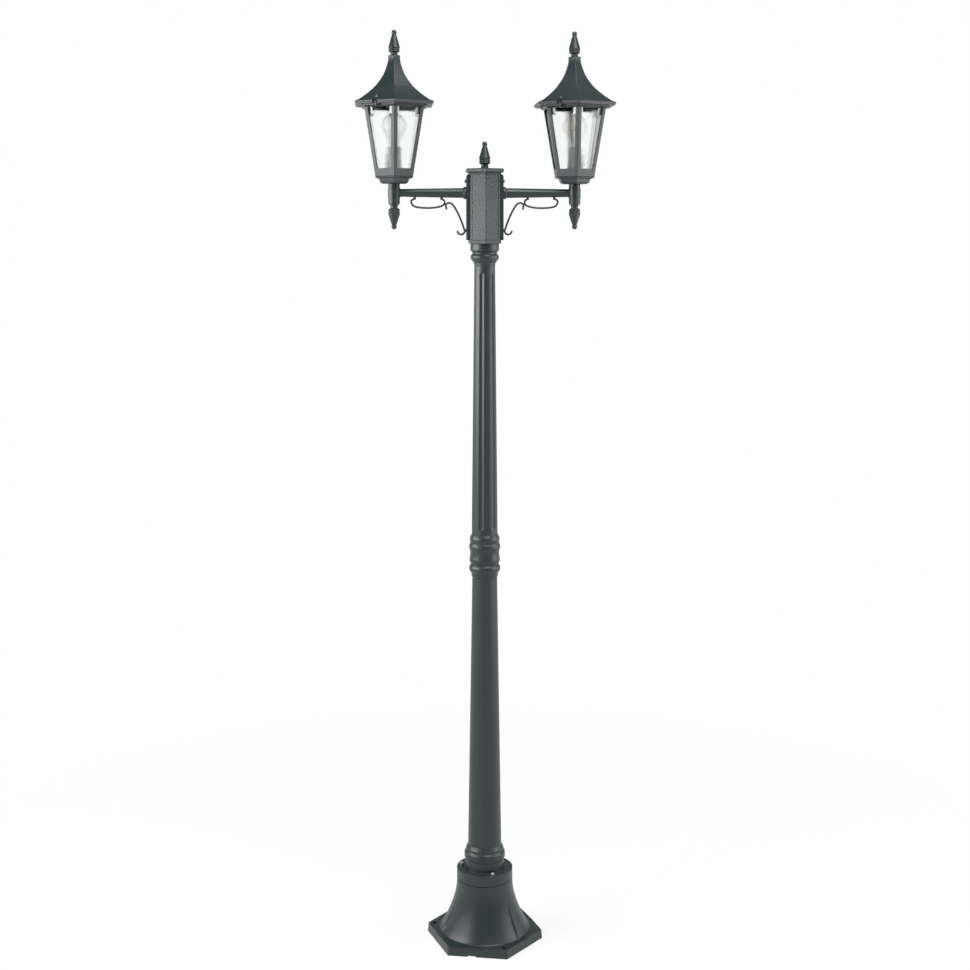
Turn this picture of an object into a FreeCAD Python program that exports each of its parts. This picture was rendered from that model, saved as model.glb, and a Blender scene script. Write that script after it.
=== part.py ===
"""Garden lamp post with two hexagonal lanterns on a cross arm.

Millimetres. The ground is Z = 0, the post's axis is the Z axis, the arms run along X,
and the view of the photograph looks along +Y. Lengths come first, then one section for
each sub-part. A table whose name ends in shares holds parts of the sizes it is used with.
"""
import FreeCAD, Part
import math
import os
from FreeCAD import Vector

os.makedirs("parts", exist_ok=True)

# General fits and cuts
overrun = 2.0
slide_gap = 0.1
seat_gap = 0.3
pin_gap = 0.06

# Base casting: hexagonal plate with a bell on it
plate_corner_radius = 141.0
plate_edge_draft = 2.0
plate_height = 20.0
base_turn_deg = -12.0
anchor_circle_radius = 123.0
anchor_hole_radius = 5.5
anchor_hole_count = 3
bell_foot_radius = 108.0
bell_neck_radius = 67.4
bell_rise = 121.0
bell_wall = 6.0
bell_flare_power = 1.65
bell_straight_share = 0.92
crease_depth = 5.0
crease_half_width = 5.0
crease_top_share = 0.7
crease_end_share = 0.3
crease_angles_deg = (-45.5, -165.5, 74.5)
cable_notch_width = 19.0
cable_notch_height = 2.5
cable_notch_offset = 14.0

# Socket ring that closes the bell, with its three screws
ring_height = 25.0
ring_bead_drop = 1.2
foot_flange_radius = 61.0
foot_flange_thickness = 6.0
ring_screw_circle_radius = 56.0
ring_screw_radius = 3.0
ring_screw_head_radius = 4.8
ring_screw_head_height = 4.5
ring_screw_length = 20.0
ring_screw_key_share = 0.9
ring_screw_angles_deg = (-74.0, 46.0, 166.0)

# Pole foot
foot_height = 57.0
foot_radius = 49.8
foot_socket_depth = 43.0
foot_outline_shares = [
    (0.0, 0.952), (0.40, 0.952), (0.42, 0.97), (0.56, 0.975, 0.12), (0.72, 0.94, 0.16),
    (0.76, 0.90), (0.91, 0.86, 0.16), (1.0, 0.812)]

# Poles
pole_wall = 5.0
lower_pole_length = 642.0
lower_pole_bottom_radius = 40.3
lower_pole_top_radius = 30.4
lower_pole_shoulder = 1.0
upper_pole_length = 651.0
upper_pole_bottom_radius = 31.4
upper_pole_top_radius = 25.4
flute_count = 6
flute_radius = 7.5
flute_depth = 2.6
flute_end_margin_bottom = 12.0
flute_end_margin_top = 17.0
flute_turn_deg = 10.0

# Collar between the poles
collar_height = 109.0
collar_radius = 37.7
collar_spigot_length = 50.0
collar_bore_radius = 18.0
collar_outline_shares = [
    (0.0, 0.80), (0.045, 0.81), (0.06, 0.852), (0.14, 0.865), (0.335, 0.885, 0.24),
    (0.50, 0.95, 0.13), (0.578, 0.934), (0.635, 0.94), (0.81, 0.915, 0.16),
    (0.975, 0.875, 0.14), (1.0, 0.835)]

# Grub screws that hold the poles
grub_radius = 3.0
grub_height_in_foot = 12.0
grub_height_in_pole = 25.0
grub_angle_deg = 90.0

# Pole head that carries the junction box
head_height = 54.0
head_radius = 35.2
head_spigot_length = 40.0
head_bore_radius = 13.0
head_screw_circle_radius = 22.0
head_screw_radius = 3.0
head_screw_head_radius = 5.0
head_screw_head_height = 3.0
head_screw_length = 18.0
head_screw_count = 3
head_outline_shares = [
    (0.0, 0.722), (0.13, 0.75), (0.21, 0.85), (0.31, 0.955), (0.49, 0.95, 0.12), (0.52, 0.87),
    (0.61, 0.865, -0.1), (0.65, 0.93), (0.70, 0.995), (0.98, 0.995), (1.0, 0.975)]

# Junction box
box_apothem = 36.0
box_band_apothem = 38.8
box_band_height = 8.5
box_body_height = 159.5
box_top_band_height = 5.0
box_wall = 4.0
box_floor = 6.0
box_panel_recess = 1.0
box_panel_margin = 4.0
box_pad_width = 38.0
box_web_width = 12.0
box_web_height = 6.0
box_web_drop = 12.0
lid_apothem = 44.8
lid_height = 9.0
lid_chamfer = 1.2
lid_lip_height = 5.0
lid_seal_thickness = 1.5
lid_seal_width = 5.0

# Wiring pieces in the junction box
terminal_length = 28.0
terminal_width = 15.0
terminal_height = 14.0
terminal_pillar = 3.0
terminal_screw_radius = 2.5
terminal_screw_count = 3
terminal_screw_proud = 1.5
terminal_screw_depth = 8.0
earth_screw_radius = 2.5
earth_screw_head_radius = 4.5
earth_screw_head_height = 2.8
earth_screw_depth = 4.0
earth_screw_place = 24.0

# Arms
arm_height_in_box = 114.5
lantern_reach = 220.0
arm_root_radius = 12.2
arm_tip_radius = 9.4
arm_bore_radius = 5.0
arm_flange_radius = 15.0
arm_flange_thickness = 7.7
arm_flange_edge = 2.0
arm_tail_radius = 8.0
arm_spigot_radius = 7.0
arm_spigot_length = 8.0
locknut_thickness = 5.0
locknut_corner_radius = 12.0

# Side plates with their dome screws
side_plate_thickness = 6.0
side_plate_width = 36.0
side_plate_chamfer = 5.0
dome_screw_rise = 28.5
dome_screw_head_radius = 4.4
dome_screw_head_height = 5.0
dome_screw_radius = 2.5

# Scrolled wrought bar under each arm
scroll_bar_radius = 2.4
scroll_weld_depth = 2.5
scroll_lug_share = 1.3
bend_setback_share = 0.45
scroll_boss_radius = 3.4
scroll_boss_drop = 91.0
scroll_drop = 112.0
loop_route_shares = [
    (0.777, 0.125), (0.805, 0.138), (0.833, 0.172), (0.826, 0.235), (0.790, 0.296),
    (0.690, 0.322), (0.545, 0.328), (0.420, 0.308), (0.335, 0.262), (0.324, 0.190),
    (0.342, 0.148), (0.374, 0.130)]
brace_route_shares = [
    (0.296, 0.362), (0.309, 0.300), (0.310, 0.243), (0.272, 0.213), (0.228, 0.222),
    (0.190, 0.275), (0.128, 0.430), (0.074, 0.610), (0.036, 0.770), (0.021, 0.845),
    (0.050, 0.895), (0.088, 0.905), (0.126, 0.870), (0.138, 0.816)]

# Turned finials
finial_height = 66.5
finial_radius = 14.3
drop_finial_height = 61.0
drop_finial_radius = 14.8
stud_radius = 3.0
stud_length = 14.0
roof_finial_height = 62.5
finial_outline_shares = [
    (0.0, 0.76), (0.035, 0.74), (0.09, 0.60, -0.2), (0.155, 0.60), (0.18, 0.84),
    (0.26, 0.86, 0.30), (0.335, 0.86, 0.30), (0.365, 0.97), (0.40, 0.96),
    (0.80, 0.42), (0.825, 0.34)]
roof_finial_outline_shares = [
    (0.0, 0.66), (0.11, 0.62, -0.1), (0.135, 0.84), (0.20, 0.86, 0.34), (0.27, 0.86, 0.34),
    (0.295, 0.98), (0.34, 0.97), (0.79, 0.42), (0.82, 0.34)]
finial_ball_share = 0.45

# Lantern stem and pan
stem_radius = 14.0
stem_below_arm = 27.5
stem_above_arm = 22.1
stem_bore_radius = 5.0
stem_bead = 1.0
pan_height = 17.2
pan_floor = 6.0
pan_wall = 3.5
pan_outline_shares = [
    (0.0, 0.58), (0.14, 0.69), (0.32, 0.735), (0.60, 0.785), (0.72, 0.80),
    (0.72, 0.87), (0.84, 0.93), (0.84, 1.0), (1.0, 1.0)]

# Glazing frame: a hexagonal basket that widens upward
frame_bottom_apothem = 45.4
frame_top_apothem = 72.2
frame_height = 170.0
frame_wall = 4.0
stile_width = 9.0
bottom_rail_height = 19.0
top_rail_height = 5.0
cornice_apothem = 79.0
cornice_height = 5.0
cornice_rim_height = 3.7
cornice_rim_width = 1.6
cornice_outline_shares = [(0.0, 0.0), (0.30, 0.22), (0.55, 0.70), (0.72, 0.78), (0.72, 1.0), (1.0, 1.0)]
ledge_height = 6.0
ledge_width = 6.0

# Glass panes and the clips at the top of their corners
pane_thickness = 3.0
pane_lap = 3.0
pane_side_gap = 0.6
clip_thickness = 0.8
clip_height = 19.0
clip_reach = 26.0

# Lampholder on its mounting plate
mounting_plate_thickness = 2.5
mounting_plate_gap = 1.0
mounting_tab_width = 10.0
mounting_tab_height = 38.0
mounting_tab_thickness = 2.0
mounting_foot_rise = 14.0
mounting_foot_reach = 3.5
mounting_hole_radius = 6.0
holder_radius = 17.3
holder_height = 54.0
holder_flange_radius = 19.0
holder_flange_height = 4.0
holder_step_share = 0.34
holder_step = 0.8
holder_bore_radius = 13.7
holder_bore_depth = 27.0

# Clear bulb
bulb_radius = 30.0
bulb_glass_height = 84.0
bulb_glass_wall = 1.0
bulb_cap_radius = 13.2
bulb_cap_height = 25.0
bulb_outline_shares = [(0.0, 0.43), (0.12, 0.45), (0.42, 0.80)]
bulb_ball_share = 1.0
bulb_stem_radius = 9.0
bulb_stem_height = 48.0
bulb_stem_outline_shares = [
    (0.0, 1.0), (0.30, 0.42), (0.93, 0.30), (0.93, 0.76), (0.97, 0.76), (0.97, 0.30), (1.0, 0.30)]
filament_circle_radius = 5.2
filament_height = 28.0
filament_wire_radius = 0.7
filament_count = 4

# Roof
eave_apothem = 94.8
eave_height = 7.0
eave_lip_height = 3.2
eave_lip_step = 0.8
eave_lip_draft = 1.8
eave_wall = 4.5
roof_rise = 114.0
roof_top_apothem = 13.8
roof_wall = 3.0
roof_top_thickness = 4.0
roof_outline_shares = [
    (0.0, 1.0), (0.040, 0.870), (0.095, 0.765), (0.155, 0.655), (0.225, 0.545), (0.310, 0.420),
    (0.395, 0.322), (0.480, 0.238), (0.565, 0.166), (0.650, 0.112), (0.735, 0.069),
    (0.820, 0.032), (0.905, 0.008), (1.0, 0.0)]
roof_cap_lip = 0.6
roof_cap_height = 4.0
seal_thickness = 2.0
seal_width = 6.0
seal_inset = 4.0
rib_width = 3.0
nut_thickness = 5.0
nut_corner_radius = 5.8

# Roof hinge on the front left face of each lantern
hinge_face_deg = -120.0
hinge_pin_radius = 1.5
hinge_pin_inset = 5.5
hinge_pin_height = 3.2
hinge_eye_radius = 3.2
hinge_lug_width = 4.2
hinge_notch_width = 13.0
hinge_ear_length = 6.0
hinge_lug_depth = 4.0

# Closing screw on the opposite face
closing_inset = 9.0
closing_screw_radius = 2.0
closing_screw_gap = 0.9
closing_head_radius = 4.5
closing_head_height = 3.5
closing_boss_radius = 5.5
closing_boss_height = 4.5
closing_lug_width = 13.0
closing_lug_depth = 6.0

# Heights worked out from the sizes above
bell_top = plate_height + bell_rise
ring_top = bell_top + ring_height
foot_top = ring_top + foot_height
lower_pole_top = foot_top + lower_pole_length
collar_top = lower_pole_top + collar_height
upper_pole_top = collar_top + upper_pole_length
head_top = upper_pole_top + head_height
box_body_bottom = head_top + box_band_height
box_body_top = box_body_bottom + box_body_height
box_top = box_body_top + box_top_band_height - lid_seal_thickness
lid_bottom = box_top + lid_seal_thickness
lid_top = lid_bottom + lid_height
arm_z = box_body_bottom + arm_height_in_box
stem_bottom = arm_z - stem_below_arm
stem_top = arm_z + stem_above_arm
pan_top = stem_top + pan_height
frame_top = pan_top + frame_height
seal_top = frame_top + seal_thickness
eave_bottom = seal_top + seat_gap
eave_top = eave_bottom + eave_height
roof_top = eave_top + roof_rise
side_plate_face = box_band_apothem + side_plate_thickness
half_turn = math.pi
hexagon_sides = 6
hexagon_slope = math.tan(half_turn / hexagon_sides)
full_circle_deg = math.degrees(half_turn + half_turn)
half_circle_deg = math.degrees(half_turn)
hexagon_step_deg = full_circle_deg / hexagon_sides
up = Vector(0, 0, 1)
origin = Vector(0, 0, 0)


def save(name, *shapes):
    """Write one node, as one solid or as a group of separate solids."""
    solids = [solid for shape in shapes for solid in shape.Solids]
    body = solids[0] if len(solids) == 1 else Part.makeCompound(solids)
    body.exportStep("parts/" + name + ".step")


def fused(shapes):
    return shapes[0].multiFuse(shapes[1:]).removeSplitter()


def turned_about_z(shape, angle_deg, x=0.0):
    copy = shape.copy()
    copy.rotate(Vector(x, 0, 0), up, angle_deg)
    return copy


def at_each(shape, angles_deg, x=0.0):
    return [turned_about_z(shape, angle, x) for angle in angles_deg]


def around(shape, count, start_deg=0.0, x=0.0):
    return at_each(shape, [start_deg + full_circle_deg * i / count for i in range(count)], x)


def mirrored(shape):
    return shape.mirror(origin, Vector(1, 0, 0))


def post(radius, z_low, z_high, x=0.0, y=0.0):
    return Part.makeCylinder(radius, z_high - z_low, Vector(x, y, z_low))


def cone(radius_low, radius_high, z_low, z_high):
    return Part.makeCone(radius_low, radius_high, z_high - z_low, Vector(0, 0, z_low))


def block(x_low, x_high, y_low, y_high, z_low, z_high):
    return Part.makeBox(x_high - x_low, y_high - y_low, z_high - z_low, Vector(x_low, y_low, z_low))


def turned(outline_shares, height, radius, z_low, x=0.0, upward=True, ball_share=0.0):
    """Solid of revolution; a third share in a point bows the stretch that leads to it.

    With a ball share the outline ends on a ball whose top is at the full height.
    """
    points = [Vector(share[1] * radius, 0, share[0] * height) for share in outline_shares]
    ball_radius = ball_share * radius
    if ball_radius:
        points[-1].z = height - ball_radius - math.sqrt(ball_radius ** 2 - points[-1].x ** 2)
    edges = []
    if points[0].x > 0:
        edges.append(Part.LineSegment(Vector(0, 0, points[0].z), points[0]).toShape())
    for i in range(1, len(points)):
        start, end = points[i - 1], points[i]
        bow = outline_shares[i][2] if len(outline_shares[i]) > 2 else 0
        if bow:
            chord = end - start
            middle = (start + end) * 0.5 + Vector(chord.z, 0, -chord.x) * bow
            edges.append(Part.Arc(start, middle, end).toShape())
        else:
            edges.append(Part.LineSegment(start, end).toShape())
    if ball_radius:
        centre = Vector(0, 0, height - ball_radius)
        start_angle = -math.acos(points[-1].x / ball_radius)
        middle_angle = (start_angle + half_turn / 2) / 2
        middle = centre + Vector(math.cos(middle_angle), 0, math.sin(middle_angle)) * ball_radius
        points.append(Vector(0, 0, height))
        edges.append(Part.Arc(points[-2], middle, points[-1]).toShape())
    elif points[-1].x > 0:
        edges.append(Part.LineSegment(points[-1], Vector(0, 0, points[-1].z)).toShape())
    edges.append(Part.LineSegment(Vector(0, 0, points[-1].z), Vector(0, 0, points[0].z)).toShape())
    solid = Part.Face(Part.Wire(edges)).revolve(origin, up, full_circle_deg)
    if not upward:
        solid.rotate(origin, Vector(1, 0, 0), half_circle_deg)
    solid.translate(Vector(x, 0, z_low))
    return solid


def hexagon(apothem, z, x=0.0):
    """Closed wire with its flats square to X."""
    radius = apothem / math.cos(half_turn / hexagon_sides)
    corners = [Vector(x + radius * math.sin(math.radians(hexagon_step_deg * i)),
                      radius * math.cos(math.radians(hexagon_step_deg * i)), z)
               for i in range(hexagon_sides)]
    return Part.makePolygon(corners + corners[:1])


def hex_stack(stations, x=0.0):
    """Solid through hexagons given as (height, apothem)."""
    parts = []
    run = [stations[0]]
    for station in stations[1:]:
        if station[0] == run[-1][0]:
            parts.append(run)
            run = [station]
        else:
            run.append(station)
    parts.append(run)
    solids = [Part.makeLoft([hexagon(a, z, x) for z, a in part], True, True) for part in parts if len(part) > 1]
    return solids[0] if len(solids) == 1 else fused(solids)


def hex_prism(apothem, z_low, z_high, x=0.0):
    return hex_stack([(z_low, apothem), (z_high, apothem)], x)


def hex_ring(outer, inner, z_low, z_high, x=0.0):
    return hex_prism(outer, z_low, z_high, x).cut(hex_prism(inner, z_low - overrun, z_high + overrun, x))


def hex_nut(corner_radius, bore_radius, thickness):
    """Nut on the XY plane, centred on the Z axis."""
    apothem = corner_radius * math.cos(half_turn / hexagon_sides)
    bore = post(bore_radius, -overrun, thickness + overrun)
    return hex_prism(apothem, 0, thickness).cut(bore)


def bar_along(route, radius):
    """Round bar along straight runs joined by tangent arcs as large as the runs allow."""
    runs = [(route[i + 1] - route[i]).Length for i in range(len(route) - 1)]
    edges = []
    start = route[0]
    for i in range(1, len(route) - 1):
        into = (route[i] - route[i - 1]).normalize()
        away = (route[i + 1] - route[i]).normalize()
        setback = bend_setback_share * min(runs[i - 1], runs[i])
        arc_start = route[i] - into * setback
        arc_end = route[i] + away * setback
        half_angle = into.getAngle(away) / 2
        inward = (away - into).normalize()
        arc_radius = setback / math.tan(half_angle)
        middle = route[i] + inward * (arc_radius / math.cos(half_angle) - arc_radius)
        edges.append(Part.LineSegment(start, arc_start).toShape())
        edges.append(Part.Arc(arc_start, middle, arc_end).toShape())
        start = arc_end
    edges.append(Part.LineSegment(start, route[-1]).toShape())
    path = Part.Wire(edges)
    section = Part.Wire(Part.makeCircle(radius, route[0], route[1] - route[0]))
    return path.makePipeShell([section], True, False)


def on_face(shape, face_deg, x):
    """Turn a piece drawn on the lantern's +X face to another face, and set it at the lantern."""
    copy = shape.copy()
    copy.translate(Vector(x, 0, 0))
    copy.rotate(Vector(x, 0, 0), up, face_deg)
    return copy


# Base casting

def bell_radius(share):
    flare = max(0.0, 1 - share / bell_straight_share) ** bell_flare_power
    return bell_neck_radius + (bell_foot_radius - bell_neck_radius) * flare


bell_station_shares = [0.0, 0.08, 0.18, 0.30, 0.42, 0.55, 0.68, 0.80, bell_straight_share, 1.0]


def bell_solid(inset, z_low, z_high):
    """Bell of revolution, drawn in by a wall thickness."""
    points = [Vector(bell_radius(s) - inset, 0, plate_height + s * bell_rise) for s in bell_station_shares]
    curve = Part.BSplineCurve()
    curve.interpolate(points)
    edges = [Part.LineSegment(Vector(0, 0, z_low), Vector(points[0].x, 0, z_low)).toShape(),
             Part.LineSegment(Vector(points[0].x, 0, z_low), points[0]).toShape(),
             curve.toShape()]
    if z_high > points[-1].z:
        edges.append(Part.LineSegment(points[-1], Vector(points[-1].x, 0, z_high)).toShape())
    edges.append(Part.LineSegment(Vector(points[-1].x, 0, z_high), Vector(0, 0, z_high)).toShape())
    edges.append(Part.LineSegment(Vector(0, 0, z_high), Vector(0, 0, z_low)).toShape())
    return Part.Face(Part.Wire(edges)).revolve(origin, up, full_circle_deg)


def bell_crease():
    """Wedge that cuts one crease down the bell, fading out upward."""
    sections = []
    for share in bell_station_shares:
        if share >= crease_top_share:
            break
        fade = 1 - share / crease_top_share
        z = plate_height + share * bell_rise
        tip = bell_radius(share) - crease_depth * fade
        rim = bell_radius(share) + overrun
        half = crease_half_width * (crease_end_share + (1 - crease_end_share) * fade)
        corners = [Vector(tip, 0, z), Vector(rim, -half, z), Vector(rim, half, z), Vector(tip, 0, z)]
        sections.append(Part.makePolygon(corners))
    return Part.makeLoft(sections, True, True)


def base_casting():
    plate_cut = math.cos(half_turn / hexagon_sides)
    plate = hex_stack([(0, plate_corner_radius * plate_cut),
                       (plate_height, (plate_corner_radius - plate_edge_draft) * plate_cut)])
    plate = turned_about_z(plate, base_turn_deg + hexagon_step_deg / 2)
    body = plate.fuse(bell_solid(0.0, overrun, bell_top))
    body = body.cut(bell_solid(bell_wall, -overrun, bell_top + overrun))
    lip_bore = foot_flange_radius - foot_flange_thickness - slide_gap
    shelf = post(bell_neck_radius - overrun, bell_top - bell_wall, bell_top)
    body = body.fuse(shelf.cut(post(lip_bore, bell_top - bell_wall - overrun, bell_top + overrun)))
    hole = post(anchor_hole_radius, -overrun, plate_height + overrun, anchor_circle_radius)
    body = body.cut(Part.makeCompound(around(hole, anchor_hole_count, base_turn_deg + hexagon_step_deg)))
    body = body.cut(Part.makeCompound(at_each(bell_crease(), crease_angles_deg)))
    notch = block(bell_foot_radius - bell_wall - overrun, plate_corner_radius,
                  -cable_notch_width / 2 - cable_notch_offset, cable_notch_width / 2 - cable_notch_offset,
                  -overrun, cable_notch_height)
    body = body.cut(turned_about_z(notch, base_turn_deg - hexagon_step_deg - hexagon_step_deg / 2))
    save("base_casting", body)


def socket_ring():
    outer = post(bell_neck_radius, bell_top + ring_bead_drop, ring_top)
    step = post(bell_neck_radius - ring_bead_drop, bell_top, bell_top + ring_bead_drop)
    bore = post(foot_flange_radius - foot_flange_thickness - slide_gap - bell_wall,
                bell_top - overrun, ring_top + overrun)
    seat = post(foot_flange_radius + slide_gap, ring_top - foot_flange_thickness, ring_top + overrun)
    body = outer.fuse(step).cut(bore).cut(seat)
    screw_hole = post(ring_screw_radius, ring_top - ring_screw_length - overrun, ring_top,
                      ring_screw_circle_radius)
    body = body.cut(Part.makeCompound(at_each(screw_hole, ring_screw_angles_deg)))
    save("socket_ring", body)


def socket_ring_screws():
    shank = post(ring_screw_radius, ring_top - ring_screw_length, ring_top, ring_screw_circle_radius)
    head = post(ring_screw_head_radius, ring_top, ring_top + ring_screw_head_height,
                ring_screw_circle_radius)
    key = hex_prism(ring_screw_radius * ring_screw_key_share, ring_top + ring_screw_head_height / 2,
                    ring_top + ring_screw_head_height + overrun, ring_screw_circle_radius)
    save("socket_ring_screws", *at_each(shank.fuse(head).cut(key), ring_screw_angles_deg))


# Poles with their foot and collar

pole_bore_bottom = lower_pole_bottom_radius - lower_pole_shoulder - pole_wall
foot_socket_floor = foot_top - foot_socket_depth
foot_bore_radius = lower_pole_bottom_radius - lower_pole_shoulder + slide_gap


def radial_screw(radius, length, outer, z):
    """Screw shank that ends flush at a radius, pointing at the post's axis along +X."""
    return Part.makeCylinder(radius, length, Vector(outer - length, 0, z), Vector(1, 0, 0))


def pole_foot():
    body = turned(foot_outline_shares, foot_height, foot_radius, ring_top)
    flange = post(foot_flange_radius, ring_top - foot_flange_thickness, ring_top)
    body = body.fuse(flange)
    body = body.cut(post(foot_bore_radius, foot_socket_floor, foot_top + overrun))
    body = body.cut(post(pole_bore_bottom, ring_top - foot_flange_thickness - overrun, foot_top))
    hole = post(ring_screw_radius, ring_top - foot_flange_thickness - overrun, ring_top + overrun,
                ring_screw_circle_radius)
    body = body.cut(Part.makeCompound(at_each(hole, ring_screw_angles_deg)))
    grub = radial_screw(grub_radius, foot_radius, foot_radius + overrun, ring_top + grub_height_in_foot)
    body = body.cut(turned_about_z(grub, grub_angle_deg))
    save("pole_foot", body)


def lower_pole():
    outer = cone(lower_pole_bottom_radius, lower_pole_top_radius, foot_top, lower_pole_top)
    spigot = post(lower_pole_bottom_radius - lower_pole_shoulder, foot_socket_floor, foot_top)
    bore_top = lower_pole_top_radius - pole_wall
    bore = cone(pole_bore_bottom, bore_top, foot_top, lower_pole_top - collar_spigot_length)
    body = outer.fuse(spigot).cut(bore)
    body = body.cut(post(pole_bore_bottom, foot_socket_floor - overrun, foot_top))
    body = body.cut(post(bore_top, lower_pole_top - collar_spigot_length, lower_pole_top + overrun))
    grub = radial_screw(grub_radius, lower_pole_top_radius, lower_pole_top_radius + overrun,
                        lower_pole_top - grub_height_in_pole)
    save("lower_pole", body.cut(turned_about_z(grub, grub_angle_deg)))


def mid_collar():
    body = turned(collar_outline_shares, collar_height, collar_radius, lower_pole_top)
    below = post(lower_pole_top_radius - pole_wall - slide_gap, lower_pole_top - collar_spigot_length,
                 lower_pole_top)
    above = post(upper_pole_bottom_radius - pole_wall - slide_gap, collar_top,
                 collar_top + collar_spigot_length)
    body = fused([body, below, above])
    body = body.cut(post(collar_bore_radius, lower_pole_top - collar_spigot_length - overrun,
                         collar_top + collar_spigot_length + overrun))
    save("mid_collar", body)


def upper_pole():
    body = cone(upper_pole_bottom_radius, upper_pole_top_radius, collar_top, upper_pole_top)
    bore_bottom = upper_pole_bottom_radius - pole_wall
    bore_top = upper_pole_top_radius - pole_wall
    body = body.cut(post(bore_bottom, collar_top - overrun, collar_top + collar_spigot_length))
    body = body.cut(cone(bore_bottom, bore_top, collar_top + collar_spigot_length,
                         upper_pole_top - head_spigot_length))
    body = body.cut(post(bore_top, upper_pole_top - head_spigot_length, upper_pole_top + overrun))
    flute_low = collar_top + flute_end_margin_bottom
    flute_high = upper_pole_top - flute_end_margin_top
    taper = (upper_pole_bottom_radius - upper_pole_top_radius) / upper_pole_length
    offset = flute_radius - flute_depth
    low = Vector(upper_pole_bottom_radius - taper * flute_end_margin_bottom + offset, 0, flute_low)
    high = Vector(upper_pole_top_radius + taper * flute_end_margin_top + offset, 0, flute_high)
    flute = Part.makeCylinder(flute_radius, (high - low).Length, low, high - low)
    body = body.cut(Part.makeCompound(around(flute, flute_count, flute_turn_deg)))
    grub = radial_screw(grub_radius, upper_pole_bottom_radius, upper_pole_bottom_radius + overrun,
                        collar_top + grub_height_in_pole)
    save("upper_pole", body.cut(turned_about_z(grub, grub_angle_deg)))


def pole_grub_screws():
    spots = [(foot_radius * foot_outline_shares[0][1], foot_bore_radius - slide_gap,
              ring_top + grub_height_in_foot),
             (lower_pole_top_radius, lower_pole_top_radius - pole_wall - slide_gap,
              lower_pole_top - grub_height_in_pole),
             (upper_pole_bottom_radius, upper_pole_bottom_radius - pole_wall - slide_gap,
              collar_top + grub_height_in_pole)]
    screws = []
    for outer, inner, z in spots:
        screws.append(turned_about_z(radial_screw(grub_radius, outer - inner, outer, z), grub_angle_deg))
    save("pole_grub_screws", *screws)


def pole_head():
    body = turned(head_outline_shares, head_height, head_radius, upper_pole_top)
    spigot = post(upper_pole_top_radius - pole_wall - slide_gap, upper_pole_top - head_spigot_length,
                  upper_pole_top)
    body = body.fuse(spigot)
    body = body.cut(post(head_bore_radius, upper_pole_top - head_spigot_length - overrun,
                         head_top + overrun))
    hole = post(head_screw_radius, head_top + box_floor - head_screw_length, head_top + overrun,
                head_screw_circle_radius)
    save("pole_head", body.cut(Part.makeCompound(around(hole, head_screw_count, grub_angle_deg))))


def pole_head_screws():
    floor_top = head_top + box_floor
    shank = post(head_screw_radius, floor_top - head_screw_length, floor_top, head_screw_circle_radius)
    head = post(head_screw_head_radius, floor_top, floor_top + head_screw_head_height,
                head_screw_circle_radius)
    save("pole_head_screws", *around(shank.fuse(head), head_screw_count, grub_angle_deg))


# Junction box

dome_screw_z = arm_z + dome_screw_rise
scroll_boss_z = arm_z - scroll_boss_drop


def junction_box():
    body = hex_prism(box_apothem, head_top, box_top)
    bands = [hex_prism(box_band_apothem, head_top, box_body_bottom),
             hex_prism(box_band_apothem, box_body_top, box_top)]
    pad = block(-box_band_apothem, box_band_apothem, -box_pad_width / 2, box_pad_width / 2,
                box_body_bottom, box_body_top)
    body = fused([body] + bands + [pad])
    body = body.cut(hex_prism(box_apothem - box_wall, head_top + box_floor, box_top + overrun))
    panel_half = box_apothem * hexagon_slope - box_panel_margin
    panel = block(box_apothem - box_panel_recess, box_apothem + overrun, -panel_half, panel_half,
                  box_body_bottom + box_panel_margin, box_body_top - box_panel_margin)
    panels = [turned_about_z(panel, sign * step * hexagon_step_deg) for sign in (-1, 1) for step in (1, 2)]
    body = body.cut(Part.makeCompound(panels))
    web_top = box_top - box_web_drop
    web = block(-box_web_width / 2, box_web_width / 2, -box_apothem, box_apothem,
                web_top - box_web_height, web_top)
    body = body.fuse(web.common(hex_prism(box_apothem - box_wall / 2, head_top, box_top)))
    body = body.cut(post(stud_radius, web_top - box_web_height - overrun, web_top + overrun))
    body = body.cut(post(head_bore_radius, head_top - overrun, head_top + box_floor + overrun))
    hole = post(head_screw_radius, head_top - overrun, head_top + box_floor + overrun,
                head_screw_circle_radius)
    body = body.cut(Part.makeCompound(around(hole, head_screw_count, grub_angle_deg)))
    body = body.cut(post(earth_screw_radius, head_top + box_floor - earth_screw_depth,
                         head_top + box_floor + overrun, earth_screw_place))
    span = box_band_apothem + overrun
    for radius, z in ((arm_tail_radius + slide_gap, arm_z), (dome_screw_radius, dome_screw_z)):
        body = body.cut(Part.makeCylinder(radius, span + span, Vector(-span, 0, z), Vector(1, 0, 0)))
    save("junction_box", body)


def box_lid():
    body = hex_stack([(lid_bottom, lid_apothem), (lid_top - lid_chamfer, lid_apothem),
                      (lid_top, lid_apothem - lid_chamfer)])
    lip_apothem = box_apothem - box_wall - seat_gap
    lip = hex_ring(lip_apothem, lip_apothem - box_wall, lid_bottom - lid_lip_height, lid_bottom)
    body = body.fuse(lip).cut(post(stud_radius + slide_gap, lid_bottom - overrun, lid_top + overrun))
    save("box_lid", body)
    save("lid_seal", hex_ring(box_band_apothem, box_band_apothem - lid_seal_width, box_top, lid_bottom))


def finial(outline_shares, height, radius, z, stud_reach, x=0.0, upward=True):
    sense = 1 if upward else -1
    body = turned(outline_shares, height, radius, z, x, upward, finial_ball_share)
    ends = sorted((z, z - sense * stud_reach))
    return body.fuse(post(stud_radius, ends[0], ends[1], x)).removeSplitter()


def box_finial():
    reach = lid_top - (box_top - box_web_drop - box_web_height)
    save("box_finial", finial(finial_outline_shares, finial_height, finial_radius, lid_top, reach))


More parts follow.
